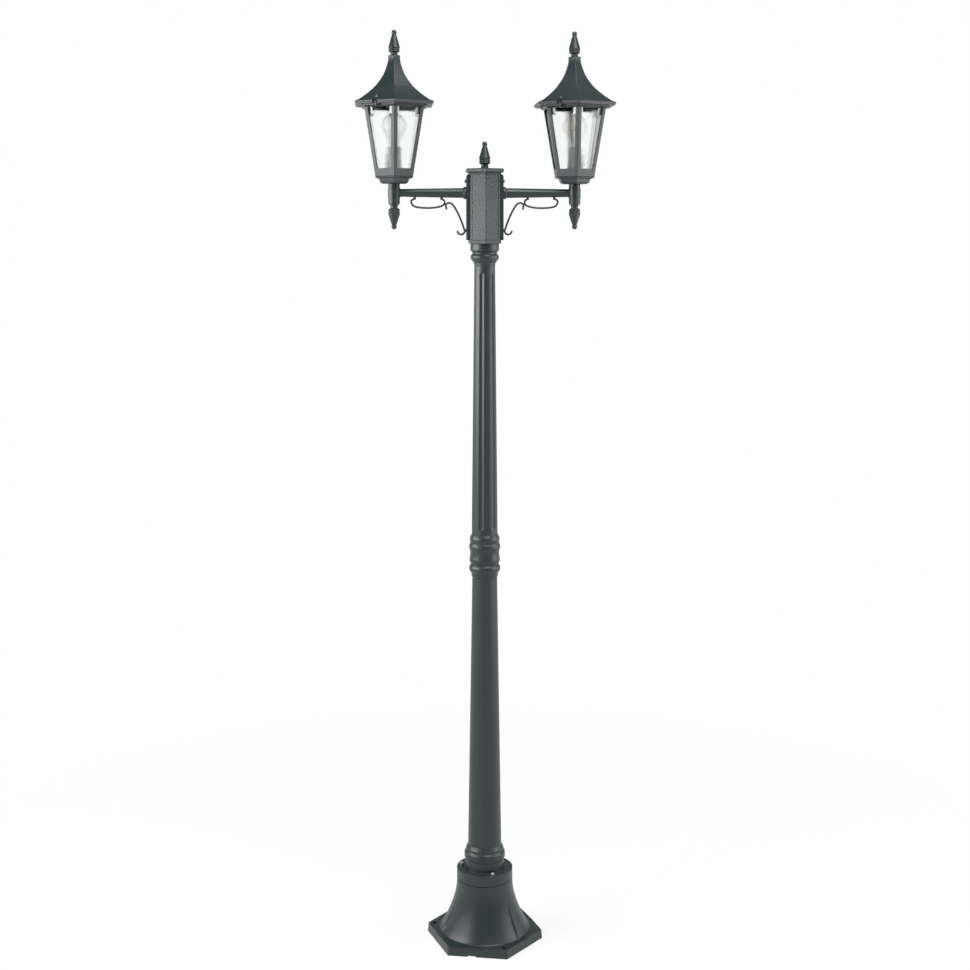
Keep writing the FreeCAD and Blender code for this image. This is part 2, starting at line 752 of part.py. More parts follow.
def terminal_block():
    floor_top = head_top + box_floor
    low = floor_top + terminal_pillar
    top = low + terminal_height
    back = -head_bore_radius - terminal_width / 2
    body = block(-terminal_length / 2, terminal_length / 2, back - terminal_width / 2,
                 back + terminal_width / 2, low, top)
    feet = block(-terminal_length / 4, terminal_length / 4, back - terminal_width / 4,
                 back + terminal_width / 4, floor_top, low)
    screws = []
    cuts = []
    for i in range(terminal_screw_count):
        x = terminal_length * ((i + 0.5) / terminal_screw_count - 0.5)
        screws.append(post(terminal_screw_radius, top - terminal_screw_depth, top + terminal_screw_proud,
                           x, back))
        cuts.append(post(terminal_screw_radius, top - terminal_screw_depth, top + overrun, x, back))
    save("terminal_block", body.fuse(feet).cut(Part.makeCompound(cuts)))
    save("terminal_screws", *screws)


def earth_screw():
    floor_top = head_top + box_floor
    shank = post(earth_screw_radius, floor_top - earth_screw_depth, floor_top, earth_screw_place)
    head = post(earth_screw_head_radius, floor_top, floor_top + earth_screw_head_height, earth_screw_place)
    save("earth_screw", shank.fuse(head))


# Arms, side plates and scrolls, drawn on the +X side

def along_x(shape_radius, x_low, x_high, z, far_radius=None):
    """Round bar or cone along X."""
    length = x_high - x_low
    if far_radius is None:
        return Part.makeCylinder(shape_radius, length, Vector(x_low, 0, z), Vector(1, 0, 0))
    return Part.makeCone(shape_radius, far_radius, length, Vector(x_low, 0, z), Vector(1, 0, 0))


arm_inner_end = box_apothem - box_wall - locknut_thickness - overrun / 2
arm_tip = lantern_reach - stem_radius


def arm_taper():
    """Tapered outside of the arm, ended by the lantern's stem."""
    taper = along_x(arm_root_radius, side_plate_face, lantern_reach, arm_z, arm_tip_radius)
    return taper.cut(post(stem_radius, stem_bottom, stem_top, lantern_reach))


def arm():
    body = arm_taper()
    flange_end = side_plate_face + arm_flange_thickness
    flange = along_x(arm_flange_radius, side_plate_face, flange_end - arm_flange_edge, arm_z)
    bevel = along_x(arm_flange_radius, flange_end - arm_flange_edge, flange_end, arm_z,
                    arm_flange_radius - arm_flange_edge)
    tail = along_x(arm_tail_radius, arm_inner_end, side_plate_face, arm_z)
    spigot = along_x(arm_spigot_radius, arm_tip - arm_tip_radius, arm_tip + arm_spigot_length, arm_z)
    body = fused([body, flange, bevel, tail, spigot])
    return body.cut(along_x(arm_bore_radius, arm_inner_end - overrun, arm_tip + arm_spigot_length + overrun,
                            arm_z))


def arm_locknut():
    nut = hex_nut(locknut_corner_radius, arm_tail_radius, locknut_thickness)
    nut.rotate(origin, Vector(0, 1, 0), -half_circle_deg / 2)
    nut.translate(Vector(box_apothem - box_wall, 0, arm_z))
    return nut


def side_plate():
    half = side_plate_width / 2
    body = block(box_band_apothem, side_plate_face, -half, half, box_body_bottom, box_body_top)
    corner = [Vector(side_plate_face - side_plate_chamfer / 2, 0, box_body_top),
              Vector(side_plate_face, 0, box_body_top - side_plate_chamfer),
              Vector(side_plate_face, 0, box_body_top)]
    wedge = Part.Face(Part.makePolygon(corner + corner[:1])).extrude(Vector(0, side_plate_width, 0))
    wedge.translate(Vector(0, -half, 0))
    body = body.cut(wedge)
    for radius, z in ((arm_tail_radius + slide_gap, arm_z), (dome_screw_radius, dome_screw_z)):
        body = body.cut(along_x(radius, 0, side_plate_face + overrun, z))
    return body


def dome_screw():
    """Dome head against the side plate, with its shank through plate and wall."""
    radius, rise = dome_screw_head_radius, dome_screw_head_height
    ball_radius = (radius * radius + rise * rise) / (rise + rise)
    ball = Part.makeSphere(ball_radius, Vector(side_plate_face + rise - ball_radius, 0, dome_screw_z))
    head = ball.common(along_x(radius + overrun, side_plate_face, side_plate_face + rise + overrun,
                               dome_screw_z))
    shank = along_x(dome_screw_radius, box_apothem - box_wall, side_plate_face, dome_screw_z)
    return head.fuse(shank).removeSplitter()


def scroll():
    """Loop under the arm and the brace beside it, which reaches the loop and is welded to it."""
    span = arm_tip - side_plate_face
    brace_reach = min(u for u, v in loop_route_shares) * span - scroll_bar_radius * 2 + scroll_weld_depth
    brace_span = brace_reach / max(u for u, v in brace_route_shares)
    loop = [Vector(side_plate_face + u * span, 0, arm_z - v * scroll_drop) for u, v in loop_route_shares]
    brace = [Vector(side_plate_face + u * brace_span, 0, arm_z - v * scroll_drop)
             for u, v in brace_route_shares]
    boss = along_x(scroll_boss_radius, side_plate_face, side_plate_face + scroll_bar_radius * 2,
                   scroll_boss_z)
    lugs = []
    for end in (loop[0], loop[-1]):
        lugs.append(post(scroll_bar_radius * scroll_lug_share, end.z - scroll_bar_radius, arm_z, end.x))
    bars = fused([bar_along(loop, scroll_bar_radius), bar_along(brace, scroll_bar_radius), boss] + lugs)
    return bars.cut(arm_taper())


# Lantern, drawn with its axis at x

def frame_apothem(z):
    return frame_bottom_apothem + (frame_top_apothem - frame_bottom_apothem) * (z - pan_top) / frame_height


def stem(x):
    body = post(stem_radius, stem_bottom, stem_top, x)
    bead = post(stem_radius + stem_bead, arm_z - arm_root_radius, arm_z + arm_root_radius, x)
    waist = post(stem_radius, arm_z - arm_root_radius, arm_z + arm_root_radius, x)
    body = body.fuse(bead).cut(bead.cut(waist))
    body = body.cut(post(stem_bore_radius, arm_z, stem_top + overrun, x))
    body = body.cut(post(stud_radius, stem_bottom - overrun, stem_bottom + stud_length, x))
    socket = Part.makeCylinder(arm_spigot_radius + slide_gap / 2, stem_radius + overrun + arm_spigot_radius,
                               Vector(x, 0, arm_z), Vector(-math.copysign(1, x), 0, 0))
    near = math.copysign(stem_radius - arm_spigot_length, x)
    socket.translate(Vector(-near, 0, 0))
    return body.cut(socket).cut(Part.makeCylinder(arm_bore_radius, stem_radius, Vector(x, 0, arm_z),
                                                  Vector(-math.copysign(1, x), 0, 0)))


def lantern_pan(x):
    stations = [(stem_top + share[0] * pan_height, share[1] * frame_bottom_apothem)
                for share in pan_outline_shares]
    body = hex_stack(stations, x)
    pocket_apothem = pan_outline_shares[3][1] * frame_bottom_apothem - pan_wall - pan_wall
    body = body.cut(hex_prism(pocket_apothem, stem_top + pan_floor, pan_top + overrun, x))
    return body.cut(post(stem_bore_radius, stem_top - overrun, pan_top, x))


def window_cut(x):
    """Wedge through one wall of the basket, between two stiles."""
    sections = []
    for z in (pan_top + bottom_rail_height, frame_top - top_rail_height):
        outer = frame_apothem(z)
        half = outer * hexagon_slope - stile_width
        near, far = outer - frame_wall - overrun, outer + overrun
        corners = [Vector(near, -half, z), Vector(far, -half, z), Vector(far, half, z), Vector(near, half, z)]
        sections.append(Part.makePolygon(corners + corners[:1]))
    return Part.makeLoft(sections, True, True)


ledge_top = pan_top + bottom_rail_height - pane_lap
hinge_axis_apothem = eave_apothem - hinge_pin_inset
hinge_axis_z = eave_bottom + hinge_pin_height
closing_apothem = eave_apothem - closing_inset


def glazing_frame(x):
    outer = hex_stack([(pan_top, frame_bottom_apothem), (frame_top, frame_top_apothem)], x)
    base = frame_top - cornice_height
    spread = cornice_apothem - frame_apothem(base)
    cornice = hex_stack([(base + h * cornice_height, frame_apothem(base) + s * spread)
                         for h, s in cornice_outline_shares], x)
    rim = hex_ring(cornice_apothem, cornice_apothem - cornice_rim_width, frame_top,
                   frame_top + cornice_rim_height, x)
    body = fused([outer, cornice, rim])
    inner = hex_stack([(pan_top - overrun, frame_apothem(pan_top - overrun) - frame_wall),
                       (frame_top + overrun, frame_apothem(frame_top + overrun) - frame_wall)], x)
    body = body.cut(inner)
    ledge_outer = frame_apothem(ledge_top) - frame_wall / 2
    ledge = hex_ring(ledge_outer, ledge_outer - frame_wall / 2 - ledge_width, ledge_top - ledge_height,
                     ledge_top, x)
    body = body.fuse(ledge.common(hex_stack([(pan_top, frame_bottom_apothem),
                                             (frame_top, frame_top_apothem)], x)))
    windows = [on_face(window_cut(0), hexagon_step_deg * i, x) for i in range(hexagon_sides)]
    body = body.cut(Part.makeCompound(windows))
    lug = block(cornice_apothem - overrun, hinge_axis_apothem, -hinge_lug_width / 2, hinge_lug_width / 2,
                frame_top - hinge_lug_depth, frame_top)
    riser = block(hinge_axis_apothem - hinge_eye_radius, hinge_axis_apothem, -hinge_lug_width / 2,
                  hinge_lug_width / 2, frame_top - hinge_lug_depth, hinge_axis_z)
    eye = Part.makeCylinder(hinge_eye_radius, hinge_lug_width,
                            Vector(hinge_axis_apothem, -hinge_lug_width / 2, hinge_axis_z), Vector(0, 1, 0))
    pin_hole = Part.makeCylinder(hinge_pin_radius, hinge_lug_width + overrun,
                                 Vector(hinge_axis_apothem, -hinge_lug_width / 2 - overrun / 2, hinge_axis_z),
                                 Vector(0, 1, 0))
    hinge_lug = fused([lug, riser, eye]).cut(pin_hole)
    screw_lug = block(cornice_apothem - overrun, closing_apothem + closing_screw_radius
                      + closing_screw_gap + frame_wall, -closing_lug_width / 2,
                      closing_lug_width / 2, frame_top - closing_lug_depth, frame_top)
    screw_hole = post(closing_screw_radius + closing_screw_gap, frame_top - closing_lug_depth - overrun,
                      frame_top + overrun, closing_apothem)
    body = body.fuse(on_face(hinge_lug, hinge_face_deg, x))
    body = body.fuse(on_face(screw_lug, hinge_face_deg + half_circle_deg, x))
    body = body.cut(on_face(screw_hole, hinge_face_deg + half_circle_deg, x))
    return body.removeSplitter()


def pane_face_apothem(z):
    return frame_apothem(z) - frame_wall - slide_gap


def panes(x):
    sections = []
    for z in (ledge_top + slide_gap, frame_top - top_rail_height + pane_lap):
        outer = pane_face_apothem(z)
        inner = outer - pane_thickness
        half = inner * hexagon_slope - pane_side_gap
        corners = [Vector(inner, -half, z), Vector(outer, -half, z), Vector(outer, half, z),
                   Vector(inner, half, z)]
        sections.append(Part.makePolygon(corners + corners[:1]))
    pane = Part.makeLoft(sections, True, True)
    return [on_face(pane, hexagon_step_deg * i, x) for i in range(hexagon_sides)]


def pane_clips(x):
    """Folded spring clips behind the stiles, at the top of the glass."""
    z_high = frame_top - top_rail_height + pane_lap
    z_low = z_high - clip_height
    back = pane_thickness + slide_gap
    outer = hex_stack([(z, pane_face_apothem(z) - back) for z in (z_low, z_high)], x)
    inner = hex_stack([(z, pane_face_apothem(z) - back - clip_thickness)
                       for z in (z_low - overrun, z_high + overrun)], x)
    shell = outer.cut(inner)
    corner_radius = frame_top_apothem / math.cos(half_turn / hexagon_sides)
    window = block(0, corner_radius, -clip_reach / 2, clip_reach / 2, z_low - overrun, z_high + overrun)
    return [shell.common(on_face(window, hexagon_step_deg * (i + 0.5), x)) for i in range(hexagon_sides)]


plate_top = pan_top + bottom_rail_height
plate_low = ledge_top


def mounting_plate(x):
    apothem = pane_face_apothem(ledge_top) - pane_thickness - mounting_plate_gap
    body = hex_prism(apothem, plate_low, plate_low + mounting_plate_thickness, x)
    body = body.cut(post(mounting_hole_radius, plate_low - overrun, plate_top + overrun, x))
    tab_x = x + math.copysign(holder_flange_radius + seat_gap, x)
    tab_out = tab_x + math.copysign(mounting_tab_thickness, x)
    foot_out = tab_out + math.copysign(mounting_foot_reach, x)
    half = mounting_tab_width / 2
    tab = block(min(tab_x, tab_out), max(tab_x, tab_out), -half, half, plate_low,
                plate_low + mounting_tab_height)
    foot_low = plate_low + mounting_foot_rise
    foot = block(min(tab_x, foot_out), max(tab_x, foot_out), -half, half, foot_low,
                 foot_low + mounting_tab_thickness)
    return fused([body, tab, foot])


holder_bottom = plate_low + mounting_plate_thickness
holder_top = holder_bottom + holder_height
bulb_cap_bottom = holder_top - holder_bore_depth + slide_gap


def lampholder(x):
    step_z = holder_bottom + holder_height * holder_step_share
    body = post(holder_radius, holder_bottom, step_z, x)
    upper = post(holder_radius - holder_step, step_z, holder_top, x)
    flange = post(holder_flange_radius, holder_bottom, holder_bottom + holder_flange_height, x)
    body = fused([body, upper, flange])
    body = body.cut(post(holder_bore_radius, holder_top - holder_bore_depth, holder_top + overrun, x))
    return body.cut(post(mounting_hole_radius, holder_bottom - overrun,
                         holder_top - holder_bore_depth - holder_flange_height, x))


def bulb_cap(x):
    contact = bulb_cap_radius / 3
    body = post(bulb_cap_radius, bulb_cap_bottom + contact, bulb_cap_bottom + bulb_cap_height, x)
    tip = turned([(0.0, 0.35), (1.0, 1.0)], contact, bulb_cap_radius, bulb_cap_bottom, x)
    return body.fuse(tip).removeSplitter()


bulb_glass_bottom = bulb_cap_bottom + bulb_cap_height


def bulb_glass(x):
    outer = turned(bulb_outline_shares, bulb_glass_height, bulb_radius, bulb_glass_bottom, x, True,
                   bulb_ball_share)
    inner = turned(bulb_outline_shares, bulb_glass_height - bulb_glass_wall - bulb_glass_wall,
                   bulb_radius - bulb_glass_wall, bulb_glass_bottom + bulb_glass_wall, x, True,
                   bulb_ball_share)
    return outer.cut(inner)


def bulb_stem(x):
    """Glass stem with a button near its top that carries the upright filaments."""
    low = bulb_glass_bottom + bulb_glass_wall + slide_gap
    body = turned(bulb_stem_outline_shares, bulb_stem_height, bulb_stem_radius, low, x)
    button_z = low + bulb_stem_outline_shares[-3][0] * bulb_stem_height - filament_wire_radius
    wire = post(filament_wire_radius, button_z, button_z + filament_height, x + filament_circle_radius)
    return fused([body] + around(wire, filament_count, 0, x))


# Roof

def roof_outline():
    """Points (height, apothem) of the roof's outside, from the eave up."""
    spread = eave_apothem - roof_top_apothem
    return [(eave_top + h * roof_rise, roof_top_apothem + s * spread) for h, s in roof_outline_shares]


def drawn_in(outline, wall):
    """The same outline, moved square to itself by a wall thickness."""
    moved = []
    for i, (z, a) in enumerate(outline):
        before = outline[max(i - 1, 0)]
        after = outline[min(i + 1, len(outline) - 1)]
        along = math.hypot(after[0] - before[0], after[1] - before[1])
        moved.append((z + wall * (after[1] - before[1]) / along, a - wall * (after[0] - before[0]) / along))
    return moved


def roof_height_at(apothem):
    """Height of the roof's outside at a distance from the lantern's axis."""
    outline = roof_outline()
    for (z_low, a_low), (z_high, a_high) in zip(outline, outline[1:]):
        if a_high <= apothem <= a_low:
            return z_low + (z_high - z_low) * (a_low - apothem) / (a_low - a_high)
    return outline[-1][0]


def roof(x):
    outline = roof_outline()
    lip_z = eave_bottom + eave_lip_height
    lower = [(eave_bottom, eave_apothem - eave_lip_step - eave_lip_draft),
             (lip_z, eave_apothem - eave_lip_step - eave_lip_draft / 2),
             (lip_z, eave_apothem - eave_lip_draft / 2)]
    body = hex_stack(lower + outline, x)
    cap = hex_prism(roof_top_apothem + roof_cap_lip, roof_top - roof_cap_height, roof_top, x)
    body = body.fuse(cap)
    inside = drawn_in(outline, roof_wall)[1:-1]
    inside = [(z, a) for z, a in inside if z < roof_top - roof_top_thickness]
    inside.append((roof_top - roof_top_thickness, roof_top_apothem - roof_wall))
    soffit = (inside[0][0] - roof_wall / 2, eave_apothem - eave_wall)
    body = body.cut(hex_stack([(eave_bottom - overrun, soffit[1]), soffit] + inside, x))
    rib_outer = cornice_apothem - seal_inset
    rib_inner = rib_outer - rib_width
    rib = hex_ring(rib_outer, rib_inner, seal_top + seat_gap, roof_height_at(rib_inner), x)
    body = body.fuse(rib.common(hex_stack([(eave_bottom - overrun, eave_apothem),
                                           (outline[0][0] - roof_wall / 2, eave_apothem)]
                                          + drawn_in(outline, roof_wall / 2)[1:], x)))
    body = body.cut(post(stud_radius + slide_gap, roof_top - roof_top_thickness - overrun,
                         roof_top + overrun, x))
    ear_low = hinge_notch_width / 2
    ear_face = hinge_axis_apothem - hinge_eye_radius
    ears = [block(ear_face, eave_apothem - eave_wall + overrun / 2, side, side + hinge_ear_length,
                  eave_bottom, soffit[0] + overrun / 2) for side in (ear_low, -ear_low - hinge_ear_length)]
    notch = block(ear_face - seat_gap, eave_apothem + overrun, -ear_low, ear_low, eave_bottom - overrun,
                  hinge_axis_z + hinge_eye_radius + seat_gap)
    pin_bore = Part.makeCylinder(hinge_pin_radius + pin_gap, hinge_notch_width + hinge_ear_length * 2
                                 + overrun, Vector(hinge_axis_apothem, -hinge_notch_width / 2
                                                   - hinge_ear_length - overrun / 2, hinge_axis_z),
                                 Vector(0, 1, 0))
    body = fused([body] + [on_face(ear, hinge_face_deg, x) for ear in ears])
    body = body.cut(on_face(notch, hinge_face_deg, x)).cut(on_face(pin_bore, hinge_face_deg, x))
    boss_top = roof_height_at(closing_apothem) + closing_boss_height
    boss = post(closing_boss_radius, soffit[0], boss_top, closing_apothem)
    screw_bore = post(closing_screw_radius + slide_gap, eave_bottom - overrun, boss_top + overrun,
                      closing_apothem)
    body = body.fuse(on_face(boss, hinge_face_deg + half_circle_deg, x))
    return body.cut(on_face(screw_bore, hinge_face_deg + half_circle_deg, x)).removeSplitter()


def closing_screw(x):
    boss_top = roof_height_at(closing_apothem) + closing_boss_height
    shank = post(closing_screw_radius, frame_top - closing_lug_depth, boss_top, closing_apothem)
    head = post(closing_head_radius, boss_top, boss_top + closing_head_height, closing_apothem)
    slot = block(closing_apothem - closing_head_radius - overrun, closing_apothem + closing_head_radius
                 + overrun, -closing_head_height / 6, closing_head_height / 6,
                 boss_top + closing_head_height / 2, boss_top + closing_head_height + overrun)
    return on_face(shank.fuse(head).cut(slot), hinge_face_deg + half_circle_deg, x)


def hinge_pin(x):
    length = hinge_notch_width + hinge_ear_length * 2
    pin = Part.makeCylinder(hinge_pin_radius, length, Vector(hinge_axis_apothem, -length / 2, hinge_axis_z),
                            Vector(0, 1, 0))
    return on_face(pin, hinge_face_deg, x)


def roof_seal(x):
    outer = cornice_apothem - seal_inset + (seal_width - rib_width) / 2
    return hex_ring(outer, outer - seal_width, frame_top, seal_top, x)


def roof_nut(x):
    nut = hex_nut(nut_corner_radius, stud_radius, nut_thickness)
    nut.translate(Vector(x, 0, roof_top - roof_top_thickness - nut_thickness))
    return nut


# Assembly

base_casting()
socket_ring()
socket_ring_screws()
pole_foot()
lower_pole()
mid_collar()
upper_pole()
pole_grub_screws()
pole_head()
pole_head_screws()
junction_box()
box_lid()
box_finial()
terminal_block()
earth_screw()
right_arm, right_plate, right_scroll = arm(), side_plate(), scroll()
right_nut, right_dome = arm_locknut(), dome_screw()
save("arm_right", right_arm)
save("arm_left", mirrored(right_arm))
save("side_plate_right", right_plate)
save("side_plate_left", mirrored(right_plate))
save("scroll_right", right_scroll)
save("scroll_left", mirrored(right_scroll))
save("arm_locknuts", right_nut, mirrored(right_nut))
save("side_plate_screws", right_dome, mirrored(right_dome))
clips = []
pins = []
for side, axis_x in (("left", -lantern_reach), ("right", lantern_reach)):
    save("stem_" + side, stem(axis_x))
    save("drop_finial_" + side, finial(finial_outline_shares, drop_finial_height, drop_finial_radius,
                                       stem_bottom, stud_length, axis_x, False))
    save("lantern_pan_" + side, lantern_pan(axis_x))
    save("glazing_frame_" + side, glazing_frame(axis_x))
    save("panes_" + side, *panes(axis_x))
    save("mounting_plate_" + side, mounting_plate(axis_x))
    save("lampholder_" + side, lampholder(axis_x))
    save("bulb_cap_" + side, bulb_cap(axis_x))
    save("bulb_glass_" + side, bulb_glass(axis_x))
    save("bulb_stem_" + side, bulb_stem(axis_x))
    save("roof_seal_" + side, roof_seal(axis_x))
    save("roof_" + side, roof(axis_x))
    save("roof_finial_" + side, finial(roof_finial_outline_shares, roof_finial_height, finial_radius,
                                       roof_top, roof_top_thickness + nut_thickness, axis_x))
    save("roof_nut_" + side, roof_nut(axis_x))
    save("closing_screw_" + side, closing_screw(axis_x))
    clips += pane_clips(axis_x)
    pins.append(hinge_pin(axis_x))
save("pane_clips", *clips)
save("hinge_pins", *pins)
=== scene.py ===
# %% [markdown]
# # A garden lamp post with two lanterns
# The post was first drawn as solids, one for each part that a foundry or a workshop would make. This script loads
# those solids as a fixed frame, and builds the parts that show again with soft edges, real glass and real paint.
# Everything is in the same place as the solids: the ground is Z = 0 and the post's axis is the Z axis.

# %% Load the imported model
import bmesh
import bpy
import math
from mathutils import Matrix, Vector


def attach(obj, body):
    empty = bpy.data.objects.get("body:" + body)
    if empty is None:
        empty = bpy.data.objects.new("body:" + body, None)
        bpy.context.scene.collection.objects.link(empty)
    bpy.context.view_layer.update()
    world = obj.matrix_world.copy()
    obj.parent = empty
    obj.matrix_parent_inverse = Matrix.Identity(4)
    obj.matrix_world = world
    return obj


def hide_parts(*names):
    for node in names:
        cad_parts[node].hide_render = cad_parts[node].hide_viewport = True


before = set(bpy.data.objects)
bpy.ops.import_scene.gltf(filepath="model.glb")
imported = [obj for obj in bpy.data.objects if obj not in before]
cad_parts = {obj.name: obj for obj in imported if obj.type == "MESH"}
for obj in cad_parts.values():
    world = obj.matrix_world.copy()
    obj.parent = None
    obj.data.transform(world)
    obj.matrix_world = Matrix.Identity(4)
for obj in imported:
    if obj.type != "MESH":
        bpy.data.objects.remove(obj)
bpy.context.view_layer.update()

# %% [markdown]
# Sizes are written in millimetres, as on a workshop drawing, and turned into metres when a mesh is made.
# The heights below are shared by parts that stand on each other, so they come first.

# %% Heights and reach, in millimetres
mm = 0.001
plate_top, bell_top, ring_top, foot_top = 20.0, 141.0, 166.0, 223.0
lower_pole_top, collar_top, upper_pole_top, head_top = 865.0, 974.0, 1625.0, 1679.0
box_body_bottom, box_body_top, box_top = 1687.5, 1847.0, 1850.5
lid_bottom, lid_top = 1852.0, 1861.0
arm_z, reach = 1802.0, 220.0
stem_bottom, stem_top, pan_top, frame_top = 1774.5, 1824.1, 1841.3, 2011.3
seal_top, eave_bottom, eave_top, roof_top = 2013.3, 2013.6, 2020.6, 2134.6
sides, signs = {"left": -reach, "right": reach}, {"left": -1, "right": 1}
side_share = math.tan(math.pi / 6)  # half a hexagon's side, as a share of its apothem
print("from the ground to the roofs' tops:", roof_top)

# %% [markdown]
# ## Shader and geometry trees as sums
# Both material trees and Geometry Nodes trees are made of nodes and links. `Value` wraps one output socket, and its
# operators add Math nodes, so that a pattern can be written as a formula. `Graph.add` makes any other node: settings
# come first, because they decide which sockets a node has, and then the values or links of its sockets.

# %% Helpers for node trees
def both_ways(operation):
    """An operator's method and its reflected form, which serves where a number stands first."""
    return (lambda a, b: a.math(operation, a, b)), (lambda a, b: a.math(operation, b, a))


class Value:
    """An output socket that can be used in sums."""

    def __init__(self, graph, socket):
        self.graph, self.socket = graph, socket

    def of(self, name):
        return Value(self.graph, self.graph.find(self.socket.node.outputs, name))

    def math(self, operation, first, second=0.0):
        return self.graph.add("ShaderNodeMath", {"operation": operation}, {0: first, 1: second})

    __add__, __radd__ = both_ways("ADD")
    __sub__, __rsub__ = both_ways("SUBTRACT")
    __mul__, __rmul__ = both_ways("MULTIPLY")
    __truediv__, __rtruediv__ = both_ways("DIVIDE")

    def __abs__(self):
        return self.math("ABSOLUTE", self)

    def least(self, other):
        return self.math("MINIMUM", self, other)

    def most(self, other):
        return self.math("MAXIMUM", self, other)

    def root(self):
        return self.math("SQRT", self)

    def above(self, other):
        return self.math("GREATER_THAN", self, other)


class Graph:
    """A node tree, emptied and filled again by add."""

    def __init__(self, tree):
        self.tree = tree
        tree.nodes.clear()

    @staticmethod
    def find(sockets, key):
        if isinstance(key, int):
            return sockets[key]
        named = [s for s in sockets if s.name == key and s.enabled]
        return named[0] if named else next(s for s in sockets if s.identifier == key)

    def add(self, kind, settings=None, values=None, out=0):
        node = self.tree.nodes.new(kind)
        for name, value in (settings or {}).items():
            setattr(node, name, value)
        for key, value in (values or {}).items():
            socket = self.find(node.inputs, key)
            if isinstance(value, Value):
                self.tree.links.new(value.socket, socket)
            else:
                socket.default_value = value
        return Value(self, self.find(node.outputs, out)) if len(node.outputs) else None


def finish(name, build):
    """A material whose surface is the shader that build returns."""
    material = bpy.data.materials.new(name)
    material.use_nodes = True
    graph = Graph(material.node_tree)
    graph.add("ShaderNodeOutputMaterial", {}, {"Surface": build(graph)})
    print("material", name)
    return material


def noise(graph, scale, detail=2.0, stretch=(1.0, 1.0, 1.0)):
    """Noise in the piece's own space, with features of about 1/scale metres."""
    place = graph.add("ShaderNodeTexCoord", out="Object")
    mapped = graph.add("ShaderNodeMapping", {}, {"Vector": place, "Scale": stretch})
    return graph.add("ShaderNodeTexNoise", {}, {"Vector": mapped, "Scale": scale, "Detail": detail})


def blend_colours(graph, share, first, second):
    return graph.add("ShaderNodeMix", {"data_type": "RGBA"},
                     {"Factor": share, "A": (*first, 1.0), "B": (*second, 1.0)}, "Result")


def bumps(graph, height, distance, strength=1.0):
    return graph.add("ShaderNodeBump", {}, {"Height": height, "Distance": distance, "Strength": strength},
                     "Normal")


def coat(graph, share, dark, light, roughness, height, distance, strength=1.0, **more):
    """A surface whose colour, gloss and relief follow patterns."""
    return graph.add("ShaderNodeBsdfPrincipled", {}, {
        "Base Color": blend_colours(graph, share, dark, light), "Roughness": roughness,
        "Normal": bumps(graph, height, distance, strength), **more})


# %% [markdown]
# ## Paint
# The post is cast and drawn metal under a satin dark green-grey powder coat. Powder melts into a film that is never
# quite flat: it has a fine orange peel, about one millimetre from crest to crest, and the film is a little thicker
# in some places, which shifts its gloss. A cast surface below it adds a wider, softer unevenness that a drawn tube
# doesn't have. Both are noise on the piece's own coordinates, so the grain has its real size on every part.

# %% Paint for castings and for tubes
paint_dark, paint_light = (0.011, 0.020, 0.020), (0.019, 0.029, 0.029)


def paint(name, cast_depth):
    def build(graph):
        patches = noise(graph, 22.0, 4.0)
        peel = noise(graph, 900.0, 2.0)
        cast = noise(graph, 130.0, 3.0)
        sheen = (patches - 0.5) * 0.16 + (peel - 0.5) * 0.10
        return coat(graph, patches * 0.7 + peel * 0.3, paint_dark, paint_light, 0.40 + sheen,
                    peel * 0.25 + cast * cast_depth, 0.0006, 0.5)
    return finish(name, build)


cast_paint = paint("cast_paint", 0.8)
tube_paint = paint("tube_paint", 0.15)

# %% [markdown]
# ## Glass
# Window glass and the bulb's glass are clear, so what shows is mostly what is behind them, and reflections where
# they are seen at a slant. A glass shader alone would keep the lamps out of the lantern, so rays that carry light
# to a surface pass straight through instead: the Light Path node picks them out. A thin sheet bends light back as
# it leaves, so both glasses bend it less than solid glass does, and are partly see-through. A faint wave in the
# surface is what tells real glass from an empty frame.

# %% Clear glass
def clear_glass(name, tint, wave_scale, wave_depth, presence, bending):
    def build(graph):
        body = graph.add("ShaderNodeBsdfPrincipled", {}, {
            "Base Color": (*tint, 1.0), "Roughness": 0.015, "IOR": bending, "Transmission Weight": 1.0,
            "Alpha": presence, "Normal": bumps(graph, noise(graph, wave_scale, 1.0), wave_depth)})
        through = graph.add("ShaderNodeBsdfTransparent", {}, {"Color": (*tint, 1.0)})
        path = graph.add("ShaderNodeLightPath", out="Is Shadow Ray")
        lit = path.most(path.of("Is Diffuse Ray"))
        return graph.add("ShaderNodeMixShader", {}, {0: lit, 1: body, 2: through})
    return finish(name, build)


pane_glass = clear_glass("pane_glass", (0.90, 0.92, 0.91), 18.0, 0.0004, 0.5, 1.12)
bulb_glass = clear_glass("bulb_glass", (0.99, 0.97, 0.91), 40.0, 0.0002, 0.14, 1.2)

# %% [markdown]
# ## Metals, plastics and rubber
# Screws, nuts and clips are plain steel. Rolled or turned metal has fine scratches that run one way, made here by
# noise that is squeezed along one axis. The bulb's cap is softer aluminium, the terminals are brass, the lampholder
# is grey thermoplastic with a fine matt grain, and the seals are black rubber.

# %% Bare metals
def bare_metal(name, dark, light, roughness, stretch):
    def build(graph):
        scratches = noise(graph, 600.0, 3.0, stretch)
        dull = noise(graph, 90.0, 2.0)
        return coat(graph, dull * 0.6 + scratches * 0.4, dark, light, roughness + (scratches - 0.5) * 0.22,
                    scratches, 0.00005, Metallic=1.0)
    return finish(name, build)


